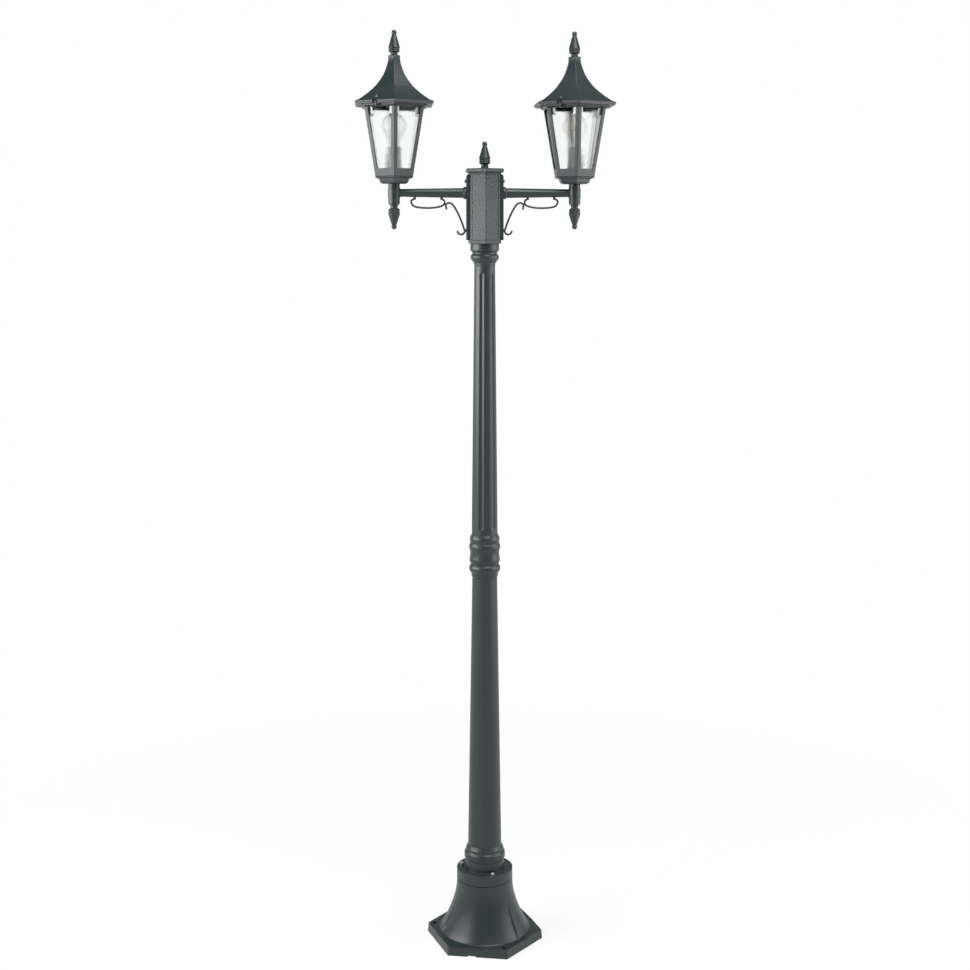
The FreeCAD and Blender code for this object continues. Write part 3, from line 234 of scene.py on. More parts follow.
steel = bare_metal("steel", (0.50, 0.51, 0.52), (0.74, 0.74, 0.73), 0.26, (1.0, 1.0, 0.08))
zinc = bare_metal("zinc", (0.34, 0.35, 0.35), (0.50, 0.50, 0.49), 0.55, (1.0, 1.0, 0.3))
aluminium = bare_metal("aluminium", (0.62, 0.62, 0.60), (0.82, 0.82, 0.80), 0.34, (0.1, 0.1, 1.0))
dark_steel = bare_metal("dark_steel", (0.10, 0.11, 0.11), (0.17, 0.18, 0.18), 0.42, (1.0, 1.0, 0.08))
brass = bare_metal("brass", (0.60, 0.42, 0.16), (0.86, 0.66, 0.32), 0.30, (1.0, 1.0, 0.2))


# %% Plastics and rubber
def moulded(name, dark, light, roughness, grain_scale, grain_depth):
    def build(graph):
        grain = noise(graph, grain_scale, 3.0)
        stain = noise(graph, 35.0, 3.0)
        return coat(graph, stain * 0.7 + grain * 0.3, dark, light, roughness + (grain - 0.5) * 0.2,
                    grain, grain_depth)
    return finish(name, build)


holder_plastic = moulded("holder_plastic", (0.24, 0.26, 0.26), (0.36, 0.38, 0.38), 0.5, 1500.0, 0.0002)
rubber = moulded("rubber", (0.012, 0.012, 0.012), (0.024, 0.024, 0.025), 0.72, 700.0, 0.0003)
terminal_plastic = moulded("terminal_plastic", (0.66, 0.64, 0.58), (0.76, 0.74, 0.68), 0.4, 1100.0, 0.0001)


# %% Filament sticks
def filament_build(graph):
    """Warm phosphor over a row of chips, which show as faint bands along the stick."""
    place = graph.add("ShaderNodeTexCoord", out="Object")
    bands = graph.add("ShaderNodeTexWave", {"bands_direction": "Z"},
                      {"Vector": place, "Scale": 160.0, "Distortion": 0.4}, "Fac")
    grain = noise(graph, 2500.0, 2.0)
    return coat(graph, bands * 0.7 + grain * 0.3, (0.86, 0.74, 0.44), (0.96, 0.88, 0.62), 0.35 + grain * 0.2,
                bands, 0.00015)


filament = finish("filament", filament_build)


# %% Milky glass of the bulb's stem
def stem_build(graph):
    """Pressed glass with small bubbles, so it is milky rather than clear."""
    bubbles = noise(graph, 800.0, 3.0)
    return coat(graph, bubbles, (0.70, 0.68, 0.62), (0.88, 0.86, 0.80), 0.2 + bubbles * 0.2,
                bubbles, 0.0001, Alpha=0.18)


milky_glass = finish("milky_glass", stem_build)

# %% [markdown]
# ## From a drawn outline to a mesh
# Most parts of the post are either turned on a lathe or six-sided. Both can be made the same way: an outline of
# (radius, height) points is drawn once, and every point becomes a ring, a circle or a hexagon, that is joined to the
# next ring with quads. Blender's Screw modifier would do for the turned parts, but not for six sides with round
# corners, so one loft makes both. A hollow part's outline runs up the outside and down the inside, and closes on
# itself. Sharp corners are the surest sign of a computer model, so `softened` rounds each corner of the outline.

# %% Outlines
def outline(shares, height, radius, z=0.0, ball=0.0, up=1, steps=6):
    """(radius, height) points in mm. A third share bows the stretch that leads to its point."""
    points = [Vector((s[1] * radius, s[0] * height)) for s in shares]
    ball_radius = ball * radius
    if ball:
        neck = points[-1].x
        points[-1].y = height - ball_radius - math.sqrt(ball_radius ** 2 - neck ** 2)
    line = [points[0]]
    for share, start, end in zip(shares[1:], points, points[1:]):
        chord = end - start
        if len(share) > 2:
            middle = Vector((chord.y, -chord.x)) * share[2] * 4
            line += [start + chord * t + middle * t * (1 - t) for t in (k / steps for k in range(1, steps))]
        line.append(end)
    if ball:
        low = -math.acos(neck / ball_radius)
        for k in range(1, steps + steps):
            a = low + (math.pi / 2 - low) * k / (steps + steps)
            line.append(Vector((ball_radius * math.cos(a), height - ball_radius + ball_radius * math.sin(a))))
        line.append(Vector((0.0, height)))
    return [(p.x, z + up * p.y) for p in line]


def softened(points, soft=0.6, closed=False, steps=3, least_turn=0.4):
    """The same outline with its corners rounded."""
    points = [Vector(p) for p in points]
    line = []
    for i, p in enumerate(points):
        into, away = p - points[i - 1], points[(i + 1) % len(points)] - p
        at_end = not closed and i in (0, len(points) - 1)
        if at_end or into.length < 1e-6 or away.length < 1e-6 or into.angle(away) < least_turn:
            line.append(p)
            continue
        cut = min(soft * math.tan(into.angle(away) / 2), into.length * 0.45, away.length * 0.45)
        start, end = p - into.normalized() * cut, p + away.normalized() * cut
        for k in range(steps + 1):
            t = k / steps
            line.append(start * (1 - t) ** 2 + p * 2 * t * (1 - t) + end * t * t)
    return line


# %% Rings and lofts
def circle(radius, z, x=0.0, count=96, ribs=0):
    """A round ring, with this many grooves in it."""
    ring = []
    for a in (2 * math.pi * i / count for i in range(count)):
        r = radius - 0.7 * (0.5 - 0.5 * math.cos(ribs * a)) ** 3
        ring.append((x + r * math.cos(a), r * math.sin(a), z))
    return ring


def six_sided(soft, steps=3):
    """A kind of ring with six sides, whose corners are this round; two of the corners are on the Y axis."""
    def ring(apothem, z, x=0.0):
        rounding = min(soft, apothem * 0.8)
        reach_out = (apothem - rounding) / math.cos(math.pi / 6)
        points = []
        for i in range(6):
            corner = math.pi / 6 + i * math.pi / 3
            for k in range(steps + 1):
                a = corner + (k / steps - 0.5) * math.pi / 3
                points.append((x + reach_out * math.cos(corner) + rounding * math.cos(a),
                               reach_out * math.sin(corner) + rounding * math.sin(a), z))
        return points
    return ring


def new_object(name, data):
    obj = bpy.data.objects.new(name, data)
    bpy.context.scene.collection.objects.link(obj)
    return obj


def object_of(name, bm):
    mesh = bpy.data.meshes.new(name)
    bm.to_mesh(mesh)
    bm.free()
    return new_object(name, mesh)


def closed_up(name, bm):
    """Close seams and poles, turn the faces outward, and hand the mesh to an object."""
    bmesh.ops.remove_doubles(bm, verts=bm.verts, dist=0.002 * mm)
    bmesh.ops.dissolve_degenerate(bm, edges=bm.edges, dist=0.001 * mm)
    bmesh.ops.recalc_face_normals(bm, faces=bm.faces)
    return object_of(name, bm)


def loft(name, rings, closed=False):
    """Quads between rings of points in mm; an open loft is capped at both ends."""
    bm = bmesh.new()
    rows = [[bm.verts.new(Vector(p) * mm) for p in ring] for ring in rings]
    for low, high in zip(rows, rows[1:] + rows[:1] if closed else rows[1:]):
        for i in range(len(low)):
            j = (i + 1) % len(low)
            bm.faces.new((low[i], low[j], high[j], high[i]))
    if not closed:
        bm.faces.new(rows[0][::-1])
        bm.faces.new(rows[-1])
    return closed_up(name, bm)


def turned(name, points, x=0.0, closed=False, soft=0.6, ring=circle):
    return loft(name, [ring(r, z, x) for r, z in softened(points, soft, closed)], closed)


# %% [markdown]
# Some parts are plain blocks with soft edges, and some need holes. A block is a short loft with a Bevel modifier,
# and holes are cut with a Boolean modifier. `settled` turns the result into a plain mesh, and `shaded` smooths the
# faces while Weighted Normal keeps the big flat ones flat, so that only the soft edges catch the light. `fitted`
# paints a finished piece and sets it in place of its solid, and `lathed` does both for a part that is turned.

# %% Helpers for blocks, cuts and shading
def settled(obj):
    """Swap an object's mesh for what its modifiers make of it."""
    graph = bpy.context.evaluated_depsgraph_get()
    mesh = bpy.data.meshes.new_from_object(obj.evaluated_get(graph), preserve_all_data_layers=True,
                                           depsgraph=graph)
    mesh.name = obj.name
    if obj.type != "MESH":
        name = obj.name
        bpy.data.objects.remove(obj)
        return new_object(name, mesh)
    obj.modifiers.clear()
    obj.data = mesh
    return obj


def bevelled(obj, width, segments=2, angle=0.6):
    bevel = obj.modifiers.new("soft_edges", "BEVEL")
    bevel.width, bevel.segments = width * mm, segments
    bevel.limit_method, bevel.angle_limit = "ANGLE", angle
    return settled(obj)


def shaded(obj, crease):
    obj.data.polygons.foreach_set("use_smooth", [True] * len(obj.data.polygons))
    obj.data.set_sharp_from_angle(angle=crease)
    weigh = obj.modifiers.new("flat_faces_stay_flat", "WEIGHTED_NORMAL")
    weigh.keep_sharp = True
    return settled(obj)


def prism(name, corners, low, high):
    """A flat outline (x, z) in mm, made thick from low to high along Y."""
    return loft(name, [[(x, y, z) for x, z in corners] for y in (low, high)])


def rod(radius, low, high):
    """The outline of a plain pin or hole, for `turned`."""
    return [(0.0, low), (radius, low), (radius, high), (0.0, high)]


def block(name, x, y, z):
    """A block between pairs of x, y and z in mm."""
    return prism(name, [(x[0], z[0]), (x[1], z[0]), (x[1], z[1]), (x[0], z[1])], *y)


def moved(obj, x=0.0, z=0.0, turn_deg=0.0, axis="Z"):
    """Turn a mesh about an axis, then shift it along X and Z, in its own vertices."""
    turn = Matrix.Rotation(math.radians(turn_deg), 4, axis)
    obj.data.transform(Matrix.Translation((x * mm, 0.0, z * mm)) @ turn)
    return obj


def joined(name, objects):
    bm = bmesh.new()
    for obj in objects:
        bm.from_mesh(obj.data)
        bpy.data.objects.remove(obj)
    return object_of(name, bm)


def cut(obj, cutters):
    """Take other meshes out of this one."""
    tool = joined("cutter", cutters)
    hole = obj.modifiers.new("cut", "BOOLEAN")
    hole.operation, hole.solver, hole.object = "DIFFERENCE", "EXACT", tool
    hole.use_self = True
    obj = settled(obj)
    bpy.data.objects.remove(tool)
    return obj


def fitted(obj, material=cast_paint, slot="paint", body="post", stands_for=None, crease=0.62):
    """Shade and paint a finished piece, and set it on its body in place of its solid."""
    obj = shaded(obj, crease)
    obj.data.materials.clear()
    obj.data.materials.append(material)
    obj.data.polygons.foreach_set("material_index", [0] * len(obj.data.polygons))
    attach(obj, body)
    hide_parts(stands_for or obj.name.removesuffix("_dressed"))
    print(f"{obj.name}: {len(obj.data.polygons)} faces")


def lathed(node, points, soft, x=0.0, closed=True, ring=circle, **fitting):
    """Turn a part and fit it in place of its solid."""
    fitted(turned(f"{node}_dressed", points, x, closed, soft, ring), **fitting)


# %% [markdown]
# ## Geometry Nodes for what repeats
# Three small trees serve the whole post. `around_axis` sets copies of one drawn piece around an upright axis, as
# screws, panes and clips sit. `bar_on_line` runs a round bar along a drawn line and rounds its ends, as the scrolls
# under the arms need. `flutes` hollows a turned tube, as the upper pole is made. Each takes its sizes as named
# inputs, and ends in Realize Instances and Set Material so that a plain mesh comes out.

# %% Make and run a tree
def new_tree(name, inputs):
    """An empty tree with named inputs; returns its graph and its group input."""
    tree = bpy.data.node_groups.new(name, "GeometryNodeTree")
    for label, kind in inputs.items():
        tree.interface.new_socket(label, in_out="INPUT", socket_type="NodeSocket" + kind)
    tree.interface.new_socket("Geometry", in_out="OUTPUT", socket_type="NodeSocketGeometry")
    graph = Graph(tree)
    return graph, graph.add("NodeGroupInput")


def end_tree(graph, given, geometry):
    real = graph.add("GeometryNodeRealizeInstances", {}, {"Geometry": geometry})
    done = graph.add("GeometryNodeSetMaterial", {}, {"Geometry": real, "Material": given.of("Material")})
    graph.add("NodeGroupOutput", {}, {"Geometry": done})
    print("tree", graph.tree.name)
    return graph.tree


def run_tree(obj, tree, values):
    """Give the object a tree with these inputs, and settle what it makes."""
    nodes = obj.modifiers.new(tree.name, "NODES")
    nodes.node_group = tree
    for item in tree.interface.items_tree:
        if item.in_out == "INPUT" and item.name in values:
            nodes[item.identifier] = values[item.name]
    return settled(obj)


# %% Tree: copies around an upright axis
graph, given = new_tree("around_axis", {"Geometry": "Geometry", "Count": "Int", "Start": "Float",
                                        "Centre": "Vector", "Material": "Material"})
points = graph.add("GeometryNodePoints", {}, {"Count": given.of("Count"), "Position": given.of("Centre")})
turn = graph.add("GeometryNodeInputIndex") * (2 * math.pi) / given.of("Count") + given.of("Start")
euler = graph.add("ShaderNodeCombineXYZ", {}, {"Z": turn})
copies = graph.add("GeometryNodeInstanceOnPoints", {}, {
    "Points": points, "Instance": given.of("Geometry"),
    "Rotation": graph.add("FunctionNodeEulerToRotation", {}, {"Euler": euler})})
around_axis = end_tree(graph, given, copies)


def set_around(obj, count, start_deg=0.0, x=0.0, material=None):
    return run_tree(obj, around_axis, {"Count": count, "Start": math.radians(start_deg),
                                       "Centre": (x * mm, 0.0, 0.0), "Material": material})


# %% Tree: a round bar along a line
graph, given = new_tree("bar_on_line", {"Geometry": "Geometry", "Radius": "Float", "Step": "Float",
                                        "Sides": "Int", "Material": "Material"})
line = graph.add("GeometryNodeResampleCurve", {"mode": "LENGTH"},
                 {"Curve": given.of("Geometry"), "Length": given.of("Step")})
passed = graph.add("GeometryNodeSplineParameter", out="Length")
total = graph.add("GeometryNodeSplineLength", out="Length")
past_end = 1 - (passed.least(total - passed) / given.of("Radius")).least(1.0)
round_end = (1 - past_end * past_end).most(0.02).root()
section = graph.add("GeometryNodeCurvePrimitiveCircle", {"mode": "RADIUS"},
                    {"Resolution": given.of("Sides"), "Radius": given.of("Radius")})
bar = graph.add("GeometryNodeCurveToMesh", {}, {"Curve": line, "Profile Curve": section, "Scale": round_end,
                                                "Fill Caps": True})
bar_on_line = end_tree(graph, given, bar)

# %% Tree: flutes in a turned tube
graph, given = new_tree("flutes", {"Geometry": "Geometry", "Count": "Float", "Turn": "Float",
                                   "Half Angle": "Float", "Depth": "Float", "Low": "Float", "High": "Float",
                                   "Run Out": "Float", "Material": "Material"})
place = graph.add("GeometryNodeInputPosition")
spot = graph.add("ShaderNodeSeparateXYZ", {}, {"Vector": place}, "X")
angle = spot.math("ARCTAN2", spot.of("Y"), spot)
sector = math.pi / given.of("Count")
local = graph.add("ShaderNodeMath", {"operation": "WRAP"},
                  {0: angle - given.of("Turn"), 1: sector, 2: 0.0 - sector})
across = abs(local) / given.of("Half Angle")
scoop = (1 - across * across).most(0.0)
run = ((spot.of("Z") - given.of("Low")).least(given.of("High") - spot.of("Z")) / given.of("Run Out")).most(0.0)
short_by = 1 - run.least(1.0)
fade = (1 - short_by * short_by).most(0.0).root()
outward = graph.add("ShaderNodeVectorMath", {"operation": "NORMALIZE"}, {
    0: graph.add("ShaderNodeVectorMath", {"operation": "MULTIPLY"}, {0: place, 1: (1.0, 1.0, 0.0)})})
facing = graph.add("ShaderNodeVectorMath", {"operation": "DOT_PRODUCT"},
                   {0: outward, 1: graph.add("GeometryNodeInputNormal")}, "Value")
inward = scoop * fade * facing.above(0.5) * given.of("Depth") * -1.0
offset = graph.add("ShaderNodeVectorMath", {"operation": "SCALE"}, {0: outward, "Scale": inward})
carved = graph.add("GeometryNodeSetPosition", {}, {"Geometry": given.of("Geometry"), "Offset": offset})
flutes = end_tree(graph, given, carved)

# %% [markdown]
# ## Base casting
# The foot of the post is one iron casting: a flat hexagonal plate that grows into a round bell. Its outline has a
# third number beside radius and height, which says how six-sided the ring is: 1 on the plate, 0 on the bell, and a
# blend on the soft fillet between them. Three shallow creases run down the bell, so the rings have extra points near
# them. The anchor holes and the cable's notch are cut with a Boolean.

# %% Base casting: rings
base_turn, plate_corner, plate_draft = -12.0, 141.0, 2.0
bell_foot, bell_neck, bell_wall, bell_height = 108.0, 67.4, 6.0, bell_top - plate_top
crease_angles, crease_depth, crease_half, crease_top = (-45.5, -165.5, 74.5), 5.0, 5.0, 0.7


def bell_radius(share):
    return bell_neck + (bell_foot - bell_neck) * max(0.0, 1 - share / 0.92) ** 1.65


def base_angles():
    """Even steps around the plate, with more of them at its corners and at the creases."""
    angles = [base_turn + 2.5 * i for i in range(144)]
    for centre in crease_angles:
        angles += [centre + side * d for side in (-1, 1) for d in (0.3, 0.7, 1.1, 1.6, 2.05, 2.9, 3.4, 4.2)]
    for i in range(6):
        angles += [base_turn + 60.0 * i + side * d for side in (-1, 1) for d in (0.4, 0.9, 1.5)]
    return sorted({round(a % 360.0, 3) for a in angles})


def base_ring(radius, z, six, share=None):
    """One ring; six is its six-sidedness, and share how far up the bell it is, for the creases."""
    ring = []
    for degrees in base_angles():
        a = math.radians(degrees)
        off = math.radians((degrees - base_turn) % 60.0 - 30.0)
        corner = min(radius * math.cos(math.pi / 6) / math.cos(off), radius - 0.9)
        r = corner * six + radius * (1 - six)
        if share is not None and share < crease_top:
            left = 1 - share / crease_top
            half = math.degrees(crease_half * (0.3 + 0.7 * left) / radius)
            near = min(abs((degrees - c + 180.0) % 360.0 - 180.0) for c in crease_angles)
            r -= crease_depth * left * max(0.0, 1 - near / half)
        ring.append((r * math.cos(a), r * math.sin(a), z))
    return ring


# %% Base casting: mesh, holes and notch
bell_shares, fillet, neck_bore = [i / 22 for i in range(23)], bell_foot + 14.0, 54.9
outer = softened([(plate_corner, 0.0, 1.0), (plate_corner - plate_draft, plate_top, 1.0),
                  (fillet, plate_top, 0.0)], 1.6)
outer += softened([(fillet, plate_top, 0.0), (bell_foot + 1.0, plate_top, 0.0),
                   (bell_radius(0.05), plate_top + 0.05 * bell_height, 0.0)], 12.0, steps=5)[1:-1]
rings = [base_ring(r, z, six) for r, z, six in outer]
rings += [base_ring(bell_radius(s), plate_top + s * bell_height, 0.0, s) for s in bell_shares if s > 0.06]
rings += [base_ring(neck_bore, z, 0.0) for z in (bell_top, bell_top - bell_wall)]
rings += [base_ring(bell_radius(s) - bell_wall, plate_top + s * bell_height, 0.0)
          for s in reversed(bell_shares) if s < 0.94]
rings.append(base_ring(bell_foot - bell_wall, 0.0, 0.0))
anchor_circle, anchor_radius = 123.0, 5.5
hole_line = [(0.0, -3.0), (anchor_radius, -3.0), (anchor_radius, 19.0), (6.6, 20.6), (6.6, 22.0),
             (0.0, 22.0)]
cutters = [moved(turned("hole", hole_line, anchor_circle, soft=0.0), turn_deg=base_turn + 60.0 + 120.0 * i)
           for i in range(3)]
notch = block("notch", (100.0, 145.0), (-23.5, -4.5), (-3.0, 2.5))
cutters.append(moved(notch, turn_deg=base_turn - 90.0))
fitted(cut(loft("base_casting_dressed", rings, closed=True), cutters))

# %% [markdown]
# ## Socket ring and its screws
# A cast ring closes the bell and clamps the pole's foot on it. Three bright steel socket screws hold it, and two of
# them show in front. One screw is turned, its six-sided key hole is cut, and the tree sets it around the axis.

# %% Socket ring
ring_outline = [(66.2, bell_top), (66.2, bell_top + 1.2), (67.4, bell_top + 1.2), (67.4, ring_top),
                (61.1, ring_top), (61.1, ring_top - 6.0), (48.9, ring_top - 6.0), (48.9, bell_top)]
lathed("socket_ring", ring_outline, 1.4)

# %% Socket screws
screw_radius, head_radius, head_height, screw_circle = 3.0, 4.8, 4.5, 56.0
screw_top = ring_top + head_height
screw = turned("socket_ring_screws_dressed", [
    (0.0, ring_top - 20.0), (screw_radius, ring_top - 20.0), (screw_radius, ring_top), (head_radius, ring_top),
    (head_radius, screw_top), (0.0, screw_top)], soft=0.5)
key_ring, key_low = six_sided(0.1), ring_top + head_height * 0.45
key = loft("key", [key_ring(screw_radius * 0.9, z) for z in (key_low, screw_top + 1.0)])
screw = set_around(moved(cut(screw, [key]), screw_circle), 3, -74.0, material=steel)
fitted(screw, steel, "steel")

# %% [markdown]
# ## Pole foot, poles, collar and head
# These are turned parts, each with a socket or a spigot that holds the next one. The outlines are tables of shares
# of a part's height and radius, and the third number bows a stretch into a bead or a hollow. The inside is drawn
# too, since the supply cable runs through the whole post.

# %% Turned parts of the pole
foot_shares = [(0.0, 0.952), (0.40, 0.952), (0.42, 0.97), (0.56, 0.975, 0.12), (0.72, 0.94, 0.16),
               (0.76, 0.90), (0.91, 0.86, 0.16), (1.0, 0.812)]
collar_shares = [(0.0, 0.80), (0.045, 0.81), (0.06, 0.852), (0.14, 0.865), (0.335, 0.885, 0.24),
                 (0.50, 0.95, 0.13), (0.578, 0.934), (0.635, 0.94), (0.81, 0.915, 0.16),
                 (0.975, 0.875, 0.14), (1.0, 0.835)]
head_shares = [(0.0, 0.722), (0.13, 0.75), (0.21, 0.85), (0.31, 0.955), (0.49, 0.95, 0.12), (0.52, 0.87),
               (0.61, 0.865, -0.1), (0.65, 0.93), (0.70, 0.995), (0.98, 0.995), (1.0, 0.975)]
foot_socket, collar_spigot_low, collar_spigot_high, head_spigot = 180.0, 815.0, 1024.0, 1585.0
foot = [(34.3, ring_top - 6.0), (61.0, ring_top - 6.0), (61.0, ring_top)]
foot += outline(foot_shares, foot_top - ring_top, 49.8, ring_top)
foot += [(39.4, foot_top), (39.4, foot_socket), (34.3, foot_socket)]
lower = [(34.3, foot_socket), (39.3, foot_socket), (39.3, foot_top), (40.3, foot_top), (30.4, lower_pole_top),
         (25.4, lower_pole_top), (25.4, collar_spigot_low), (34.3, foot_top)]
collar = [(18.0, collar_spigot_low), (25.3, collar_spigot_low), (25.3, lower_pole_top)]
collar += outline(collar_shares, collar_top - lower_pole_top, 37.7, lower_pole_top)
collar += [(26.3, collar_top), (26.3, collar_spigot_high), (18.0, collar_spigot_high)]
head = [(13.0, head_spigot), (20.3, head_spigot), (20.3, upper_pole_top)]
head += outline(head_shares, head_top - upper_pole_top, 35.2, upper_pole_top) + [(13.0, head_top)]
lathed("pole_foot", foot, 1.0)
lathed("lower_pole", lower, 0.5, material=tube_paint)
lathed("mid_collar", collar, 0.9)
lathed("pole_head", head, 0.9)

# %% [markdown]
# The upper pole is the main piece that follows a rule: a tapered tube with six flutes. The tube is turned with rings
# close together where a flute runs out, and the tree then draws its outside in: how far depends on the angle from
# the flute's middle and on the height, by a circle's quarter at each end.

# %% Upper pole with its flutes
flute_low, flute_high, run_out = collar_top + 12.0, upper_pole_top - 17.0, 8.0
steps = (0.0, 0.3, 1.0, 2.2, 4.0, 6.0, run_out)
levels = [collar_top, collar_top + 6.0] + [flute_low + d for d in steps]
levels += [flute_low + run_out + (flute_high - flute_low - 2 * run_out) * k / 20 for k in range(1, 20)]
levels += [flute_high - d for d in reversed(steps)] + [upper_pole_top]
tube_low, tube_high = 31.4, 25.4
taper = (tube_low - tube_high) / (upper_pole_top - collar_top)
tube = [(tube_low - taper * (z - collar_top), z) for z in levels]
tube += [(20.4, upper_pole_top), (20.4, head_spigot), (26.4, collar_spigot_high), (26.4, collar_top)]
upper = loft("upper_pole_dressed", [circle(r, z, count=240) for r, z in tube], closed=True)
upper = run_tree(upper, flutes, {
    "Count": 6.0, "Turn": math.radians(10.0), "Half Angle": math.radians(12.0), "Depth": 2.6 * mm,
    "Low": flute_low * mm, "High": flute_high * mm, "Run Out": run_out * mm, "Material": tube_paint})
fitted(upper, tube_paint)

# %% [markdown]
# ## Junction box
# The box under the middle finial is a six-sided casting with a band at its foot and at its top, a shallow recessed
# panel in each free face, and a flat pad on both sides for the plates that carry the arms. It is hollow, and its lid
# sits on a rubber seal.

# %% Junction box
box_ring, box_side, body_side, box_floor = six_sided(1.6), 38.8, 36.0, 1685.0
shell = [(box_side, head_top), (box_side, box_body_bottom), (body_side, box_body_bottom),
         (body_side, box_body_top), (box_side, box_body_top), (box_side, box_top), (32.0, box_top),
         (32.0, box_floor), (14.9, box_floor), (14.9, head_top)]
half = body_side * side_share - 4.0
panels = [moved(block("panel", (35.0, 40.0), (-half, half), (box_body_bottom + 4.0, box_body_top - 4.0)),
                turn_deg=turn) for turn in (60.0, 120.0, 240.0, 300.0)]
box = cut(turned("junction_box_dressed", shell, closed=True, soft=0.8, ring=box_ring), panels)
pads = [bevelled(block("pad", x, (-19.0, 19.0), (box_body_bottom - 0.5, box_body_top + 0.5)), 0.6)
        for x in ((-box_side, -34.0), (34.0, box_side))]
web = bevelled(block("web", (-6.0, 6.0), (-38.0, 38.0), (box_top - 18.0, box_top - 12.0)), 0.5)
fitted(joined("junction_box_dressed", [box, web] + pads))

# %% Lid of the box
lid = [(44.8, lid_bottom), (44.8, lid_top - 1.2), (43.6, lid_top), (3.1, lid_top), (3.1, lid_bottom),
       (27.7, lid_bottom), (27.7, lid_bottom - 5.0), (31.7, lid_bottom - 5.0), (31.7, lid_bottom)]
lathed("box_lid", lid, 0.8, ring=box_ring)
seal = [(box_side, box_top), (box_side, lid_bottom), (33.8, lid_bottom), (33.8, box_top)]
lathed("lid_seal", seal, 0.4, ring=box_ring, material=rubber, slot="seal")

# %% [markdown]
# ## Finials
# Each finial is turned from one piece: a foot, a waist, a bead, a long cone and a ball. Two of them hang under the
# lanterns' stems, so their outline is drawn downward. A stud below the foot screws into what carries it.

# %% Finials on the box, under the stems and on the roofs
finial_shares = [(0.0, 0.76), (0.035, 0.74), (0.09, 0.60, -0.2), (0.155, 0.60), (0.18, 0.84),
                 (0.26, 0.86, 0.30), (0.335, 0.86, 0.30), (0.365, 0.97), (0.40, 0.96), (0.80, 0.42),
                 (0.825, 0.34)]
roof_finial_shares = [(0.0, 0.66), (0.11, 0.62, -0.1), (0.135, 0.84), (0.20, 0.86, 0.34), (0.27, 0.86, 0.34),
                      (0.295, 0.98), (0.34, 0.97), (0.79, 0.42), (0.82, 0.34)]


def finial(node, shares, height, radius, z, stud, x=0.0, up=1, body="post"):
    points = [(0.0, z - up * stud), (3.0, z - up * stud), (3.0, z)]
    points += outline(shares, height, radius, z, ball=0.45, up=up)
    lathed(node, points, 0.5, x, closed=False, body=body)


finial("box_finial", finial_shares, 66.5, 14.3, lid_top, 28.5)
for side, x in sides.items():
    finial(f"drop_finial_{side}", finial_shares, 61.0, 14.8, stem_bottom, 14.0, x, -1)
    finial(f"roof_finial_{side}", roof_finial_shares, 62.49, 14.3, roof_top, 14.0, x, body=f"{side}_roof")

# %% [markdown]
# ## Arms, side plates and stems
# Each arm is a tapered tube with a flange against the side plate. It is turned about Z like the other parts and
# then laid along X. The plates have a sloping top edge, and a dome-headed screw above the arm.

# %% Arms, plates and dome screws
plate_face, arm_end, screw_rise = 44.8, 209.0, 28.5


def along_x(obj, sign, rise=0.0):
    """Lay a part that was turned about Z along X, at the arms' height or this much above it."""
    return moved(obj, z=arm_z + rise, turn_deg=sign * 90.0, axis="Y")


arm_outline = [(8.0, 26.9), (8.0, plate_face), (15.0, plate_face), (15.0, plate_face + 5.7),
               (13.0, plate_face + 7.7), (12.1, plate_face + 7.7), (9.56, arm_end), (7.0, arm_end),
               (7.0, arm_end + 5.0), (5.0, arm_end + 5.0), (5.0, 26.9)]
dome = [(0.0, 40.0), (2.5, 40.0), (2.5, plate_face), (4.4, plate_face), (4.35, plate_face + 1.2),
        (3.9, plate_face + 2.6), (3.0, plate_face + 3.9), (1.6, plate_face + 4.75), (0.0, plate_face + 5.0)]
slope = [(box_side, box_body_bottom), (plate_face, box_body_bottom), (plate_face, box_body_top - 5.0),
         (plate_face - 2.5, box_body_top), (box_side, box_body_top)]
for side, sign in signs.items():
    fitted(along_x(turned(f"arm_{side}_dressed", arm_outline, closed=True, soft=0.8), sign), tube_paint)
    plate = bevelled(prism(f"side_plate_{side}_dressed", slope, -18.0, 18.0), 0.7)
    fitted(moved(plate, turn_deg=90.0 - 90.0 * sign))
domes = [along_x(turned("dome", dome, soft=0.3), sign, screw_rise) for sign in signs.values()]
fitted(joined("side_plate_screws_dressed", domes), dark_steel, "steel")

# %% Stems
band_low, band_high = arm_z - 12.2, arm_z + 12.2
stem = [(3.0, stem_bottom), (14.0, stem_bottom), (14.0, band_low), (15.0, band_low), (15.0, band_high),
        (14.0, band_high), (14.0, stem_top), (5.0, stem_top), (5.0, arm_z - 6.0), (3.0, arm_z - 9.0)]
for side, x in sides.items():
    lathed(f"stem_{side}", stem, 0.8, x)

# %% [markdown]
# ## Scrolls
# Under each arm hangs a scroll bent from round bar: a loop that is welded to the arm at both ends, and a brace that
# leaves it in a curve and curls up again at the box. A smooth line through a few points is the shape a smith would
# bend, so the points are the control points of a NURBS line, and the tree runs the bar along it.

# %% Scroll lines
scroll_span, scroll_drop, bar_radius, boss_drop = 206.0 - plate_face, 112.0, 2.4, -91.0
loop_shares = [(0.777, 0.125), (0.805, 0.138), (0.833, 0.172), (0.826, 0.235), (0.790, 0.296), (0.690, 0.322),
               (0.545, 0.328), (0.420, 0.308), (0.335, 0.262), (0.324, 0.190), (0.342, 0.148), (0.374, 0.130)]
brace_shares = [(0.296, 0.362), (0.309, 0.300), (0.310, 0.243), (0.272, 0.213), (0.228, 0.222), (0.190, 0.275),
                (0.128, 0.430), (0.074, 0.610), (0.036, 0.770), (0.021, 0.845), (0.050, 0.895), (0.088, 0.905),
                (0.126, 0.870), (0.138, 0.816)]


def scroll_point(u, v, sign):
    return sign * (plate_face + u * scroll_span), arm_z - v * scroll_drop


